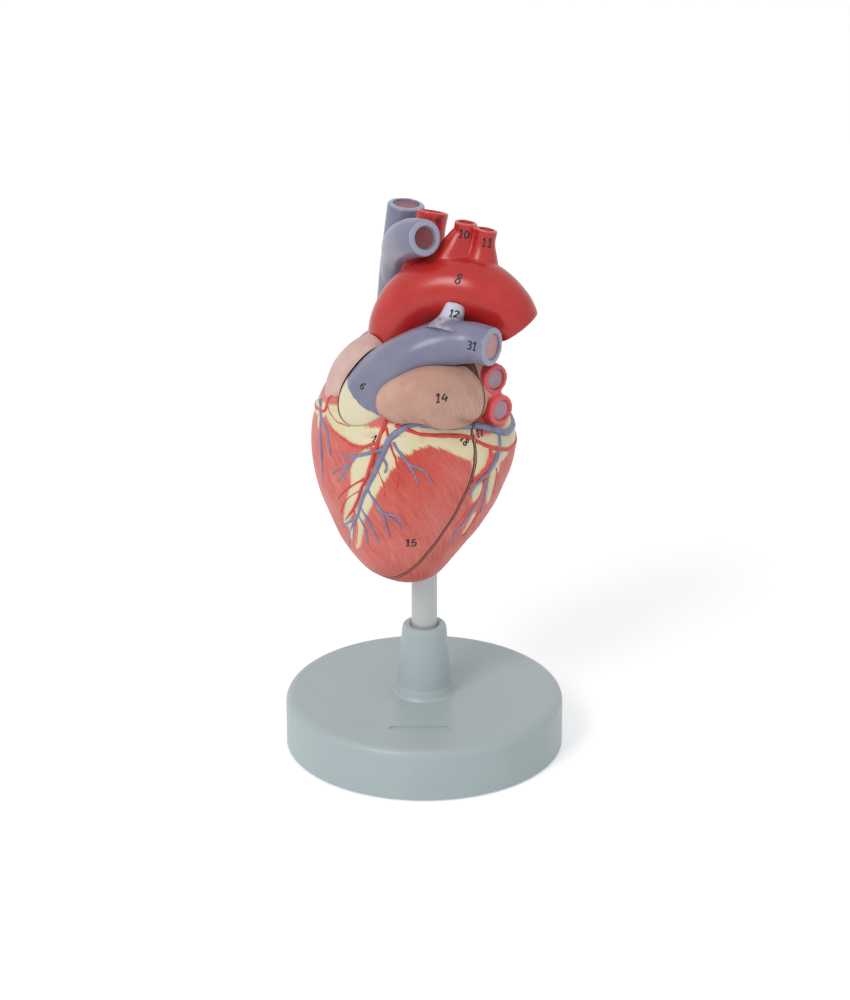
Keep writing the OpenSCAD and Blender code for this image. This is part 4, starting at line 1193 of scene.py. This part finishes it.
# ---- Painted numbers ----------------------------------------------------------------------
# Small numbers are brushed on the parts in dark ink, as a key for the class. Each is a thin film
# of paint that lies on its piece and comes off with it.
digit_strokes = {
    "1": [[(0.12, 0.78), (0.34, 1.0), (0.3, 0.0)], [(0.1, 0.0), (0.5, 0.02)]],
    "2": [[(0.04, 0.8), (0.16, 0.98), (0.4, 1.0), (0.54, 0.82), (0.48, 0.58), (0.2, 0.26),
           (0.0, 0.02), (0.3, 0.05), (0.58, 0.02)]],
    "3": [[(0.06, 0.92), (0.28, 1.0), (0.5, 0.86), (0.44, 0.62), (0.22, 0.54)],
          [(0.22, 0.54), (0.5, 0.44), (0.54, 0.2), (0.32, 0.0), (0.02, 0.06)]],
    "4": [[(0.28, 1.0), (0.02, 0.36), (0.6, 0.38)], [(0.44, 0.66), (0.38, 0.0)]],
    "5": [[(0.54, 1.0), (0.16, 0.98), (0.1, 0.56), (0.36, 0.6), (0.54, 0.4), (0.46, 0.12),
           (0.24, 0.0), (0.02, 0.06)]],
    "6": [[(0.48, 0.98), (0.22, 0.8), (0.06, 0.46), (0.08, 0.14), (0.28, 0.0), (0.5, 0.12),
           (0.52, 0.36), (0.32, 0.5), (0.1, 0.36)]],
    "7": [[(0.04, 0.96), (0.54, 1.0), (0.34, 0.5), (0.22, 0.0)]],
    "8": [[(0.46, 0.84), (0.28, 1.0), (0.1, 0.82), (0.2, 0.6), (0.44, 0.38), (0.46, 0.12),
           (0.26, 0.0), (0.06, 0.14), (0.12, 0.4), (0.38, 0.62), (0.46, 0.84)]],
    "9": [[(0.46, 0.74), (0.3, 0.52), (0.1, 0.62), (0.12, 0.9), (0.32, 1.0), (0.48, 0.86),
           (0.46, 0.4), (0.26, 0.0)]],
    "0": [[(0.28, 1.0), (0.08, 0.76), (0.06, 0.3), (0.24, 0.0), (0.46, 0.2), (0.5, 0.7),
           (0.28, 1.0)]],
}


def ink_film(text, height, width, lean):
    """Flat ribbons along the strokes of a number about its middle, as rows of three points.
    A stroke is a smooth curve through its corners, and its width swells as sin of its length."""
    rows, faces, first = [], [], 0
    for k, digit in enumerate(text):
        for stroke in digit_strokes[digit]:
            line = (np.array(stroke) - [0.3, 0.5] + [0.72 * (k - (len(text) - 1) / 2), 0]) * height
            line = smooth_rows(line, np.linspace(0, len(line) - 1, 6 * len(line)))
            side = unit(np.gradient(line, axis=0))[:, ::-1] * [-1, 1]
            swell_by = 1 + 0.25 * np.sin(np.linspace(0.5, 2.9, len(line)))[:, None]
            across = np.array([[-1], [0], [1]]) * swell_by[:, None]
            rows.append(line[:, None] + side[:, None] * across * width / 2)
            i, j = np.meshgrid(np.arange(len(line) - 1), [0, 1], indexing="ij")
            a = first + 3 * i + j
            faces.append(np.stack([a, a + 3, a + 4, a + 1], -1).reshape(-1, 4))
            first += 3 * len(line)
    flat = np.concatenate([row.reshape(-1, 2) for row in rows])
    c, s = math.cos(math.radians(lean)), math.sin(math.radians(lean))
    return flat @ np.array([[c, s], [-s, c]]), np.concatenate(faces)


brush_width = 0.5
film_lift, film_depth = 0.00006, 0.00012
ink = moulded("number_ink", colour(34, 30, 40), 0.5, grain_scale=1500.0, shade=0.4)
for text, number_on, body, slot, anchor, outwards, height, lean in (
    ("8", aorta, "heart", "artery_plastic", (19.6, -2.2, 214.4), (0.1, -1, 0.5), 4.2, -4),
    ("9", aorta, "heart", "artery_plastic", (-1, 9.7, 231.9), (0.6, -1, 0.1), 2.6, -6),
    ("10", aorta, "heart", "artery_plastic", (13.7, 8.7, 229.7), (0.3, -1, 0.2), 3.2, -6),
    ("11", aorta, "heart", "artery_plastic", (22.5, 12.7, 226.6), (0.5, -1, 0.2), 3.2, -6),
    ("12", ligament, "heart", "ligament_plastic", (21.8, -8, 201.3), (0.5, -1, 0.6), 2.8, -4),
    ("31", trunk, "heart", "vein_plastic", (36.3, -15.3, 192.7), (0.3, -1, 0.2), 3.2, -4),
    ("6", trunk, "heart", "vein_plastic", (-6.2, -32.8, 171.2), (0.1, -1, 0.1), 3.2, -40),
    ("14", left_auricle, "front", "auricle_plastic", (28.8, -25.5, 171.7), (0.5, -1, 0.1), 3.4, 0),
    ("15", front_wall, "front", "muscle_plastic", (14, -26.9, 104.8), (0.5, -1, -0.3), 3.4, -4),
    ("18", front_wall, "front", "muscle_plastic", (29.5, -11.1, 149.4), (1, -0.6, 0), 2.8, -60),
    ("17", rear_wall, "heart", "muscle_plastic", (31.4, -3.3, 150.5), (1, -0.1, 0), 2.8, -10),
    ("14", front_wall, "front", "muscle_plastic", (1.6, -33.5, 149.6), (0.1, -1, 0.1), 2.8, -20),
):
    out = unit(np.array(outwards, float))
    right = unit(np.cross([0, 0, 1.0], out))
    flat, faces = ink_film(text, height, brush_width, lean)
    points = (np.array(anchor, float) + 4 * out + flat[:, :1] * right
              + flat[:, 1:] * np.cross(out, right))
    film = new_piece("number_" + text + "_on_" + number_on.name, to_row(points), (faces,), (ink,))
    lay = film.modifiers.new("lay", "SHRINKWRAP")
    lay.wrap_method = "PROJECT"
    lay.use_negative_direction = True
    lay.use_positive_direction = False
    lay.target = number_on
    lay.offset = film_lift
    thicken = film.modifiers.new("thicken", "SOLIDIFY")
    thicken.thickness = film_depth
    thicken.offset = -1
    settle(film)
    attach(film, body)

# ---- Light, floor and camera --------------------------------------------------------------
# The model stands on a pale table under a large soft light from the upper left front. The
# camera stands in front of it and looks down at 22 degrees.


def white_rays(tree):
    """1 for what the camera sees, directly, in gloss or through glass, and 0 for light."""
    rays = add(tree, "ShaderNodeLightPath").outputs
    seen = number(tree, "MAXIMUM", rays["Is Camera Ray"], rays["Is Glossy Ray"])
    return number(tree, "MAXIMUM", seen, rays["Is Transmission Ray"])


def studio():
    """White floor that shows no edge, even light from all round and one soft key light."""
    floor = new_piece("studio_floor", np.array([[-4, -4, 0], [4, -4, 0], [4, 4, 0], [-4, 4, 0]]),
                      (np.array([[0, 1, 2, 3]]),))
    material, tree, shader = new_material("studio_floor_white")
    seen = white_rays(tree)
    into(tree, shader, Base_Color=colour(250, 250, 250), Roughness=0.9, Specular_IOR_Level=0.0,
         Emission_Color=(1, 1, 1, 1), Emission_Strength=number(tree, "MULTIPLY", seen, 0.35))
    floor.data.materials.append(material)
    world = bpy.data.worlds.new("studio")
    bpy.context.scene.world = world
    world.use_nodes = True
    tree = world.node_tree
    tree.nodes.clear()
    shade = blend_colours(tree, white_rays(tree), (0.61, 0.617, 0.625, 1), (1, 1, 1, 1))
    sky = add(tree, "ShaderNodeBackground", {"Color": shade, "Strength": 1.0})
    add(tree, "ShaderNodeOutputWorld", {"Surface": sky.outputs[0]})
    key = bpy.data.lights.new("key", "AREA")
    key.energy, key.size = 24, 1.0
    lamp = bpy.data.objects.new("key", key)
    lamp.location = (-1.3, -1.7, 1.9)
    lamp.rotation_euler = (Vector((0, 0, 0.14)) - lamp.location).to_track_quat("-Z", "Y").to_euler()
    bpy.context.scene.collection.objects.link(lamp)
    bpy.context.scene.view_settings.view_transform = "Standard"


studio()
camera_data = bpy.data.cameras.new("camera")
camera_data.lens = 107.5
camera_data.sensor_width = 36
camera = bpy.data.objects.new("camera", camera_data)
camera.location = (0.00028, -1.1733, 0.583)
camera.rotation_euler = (math.radians(90 - 21.87), 0, 0)
bpy.context.scene.collection.objects.link(camera)
bpy.context.scene.camera = camera
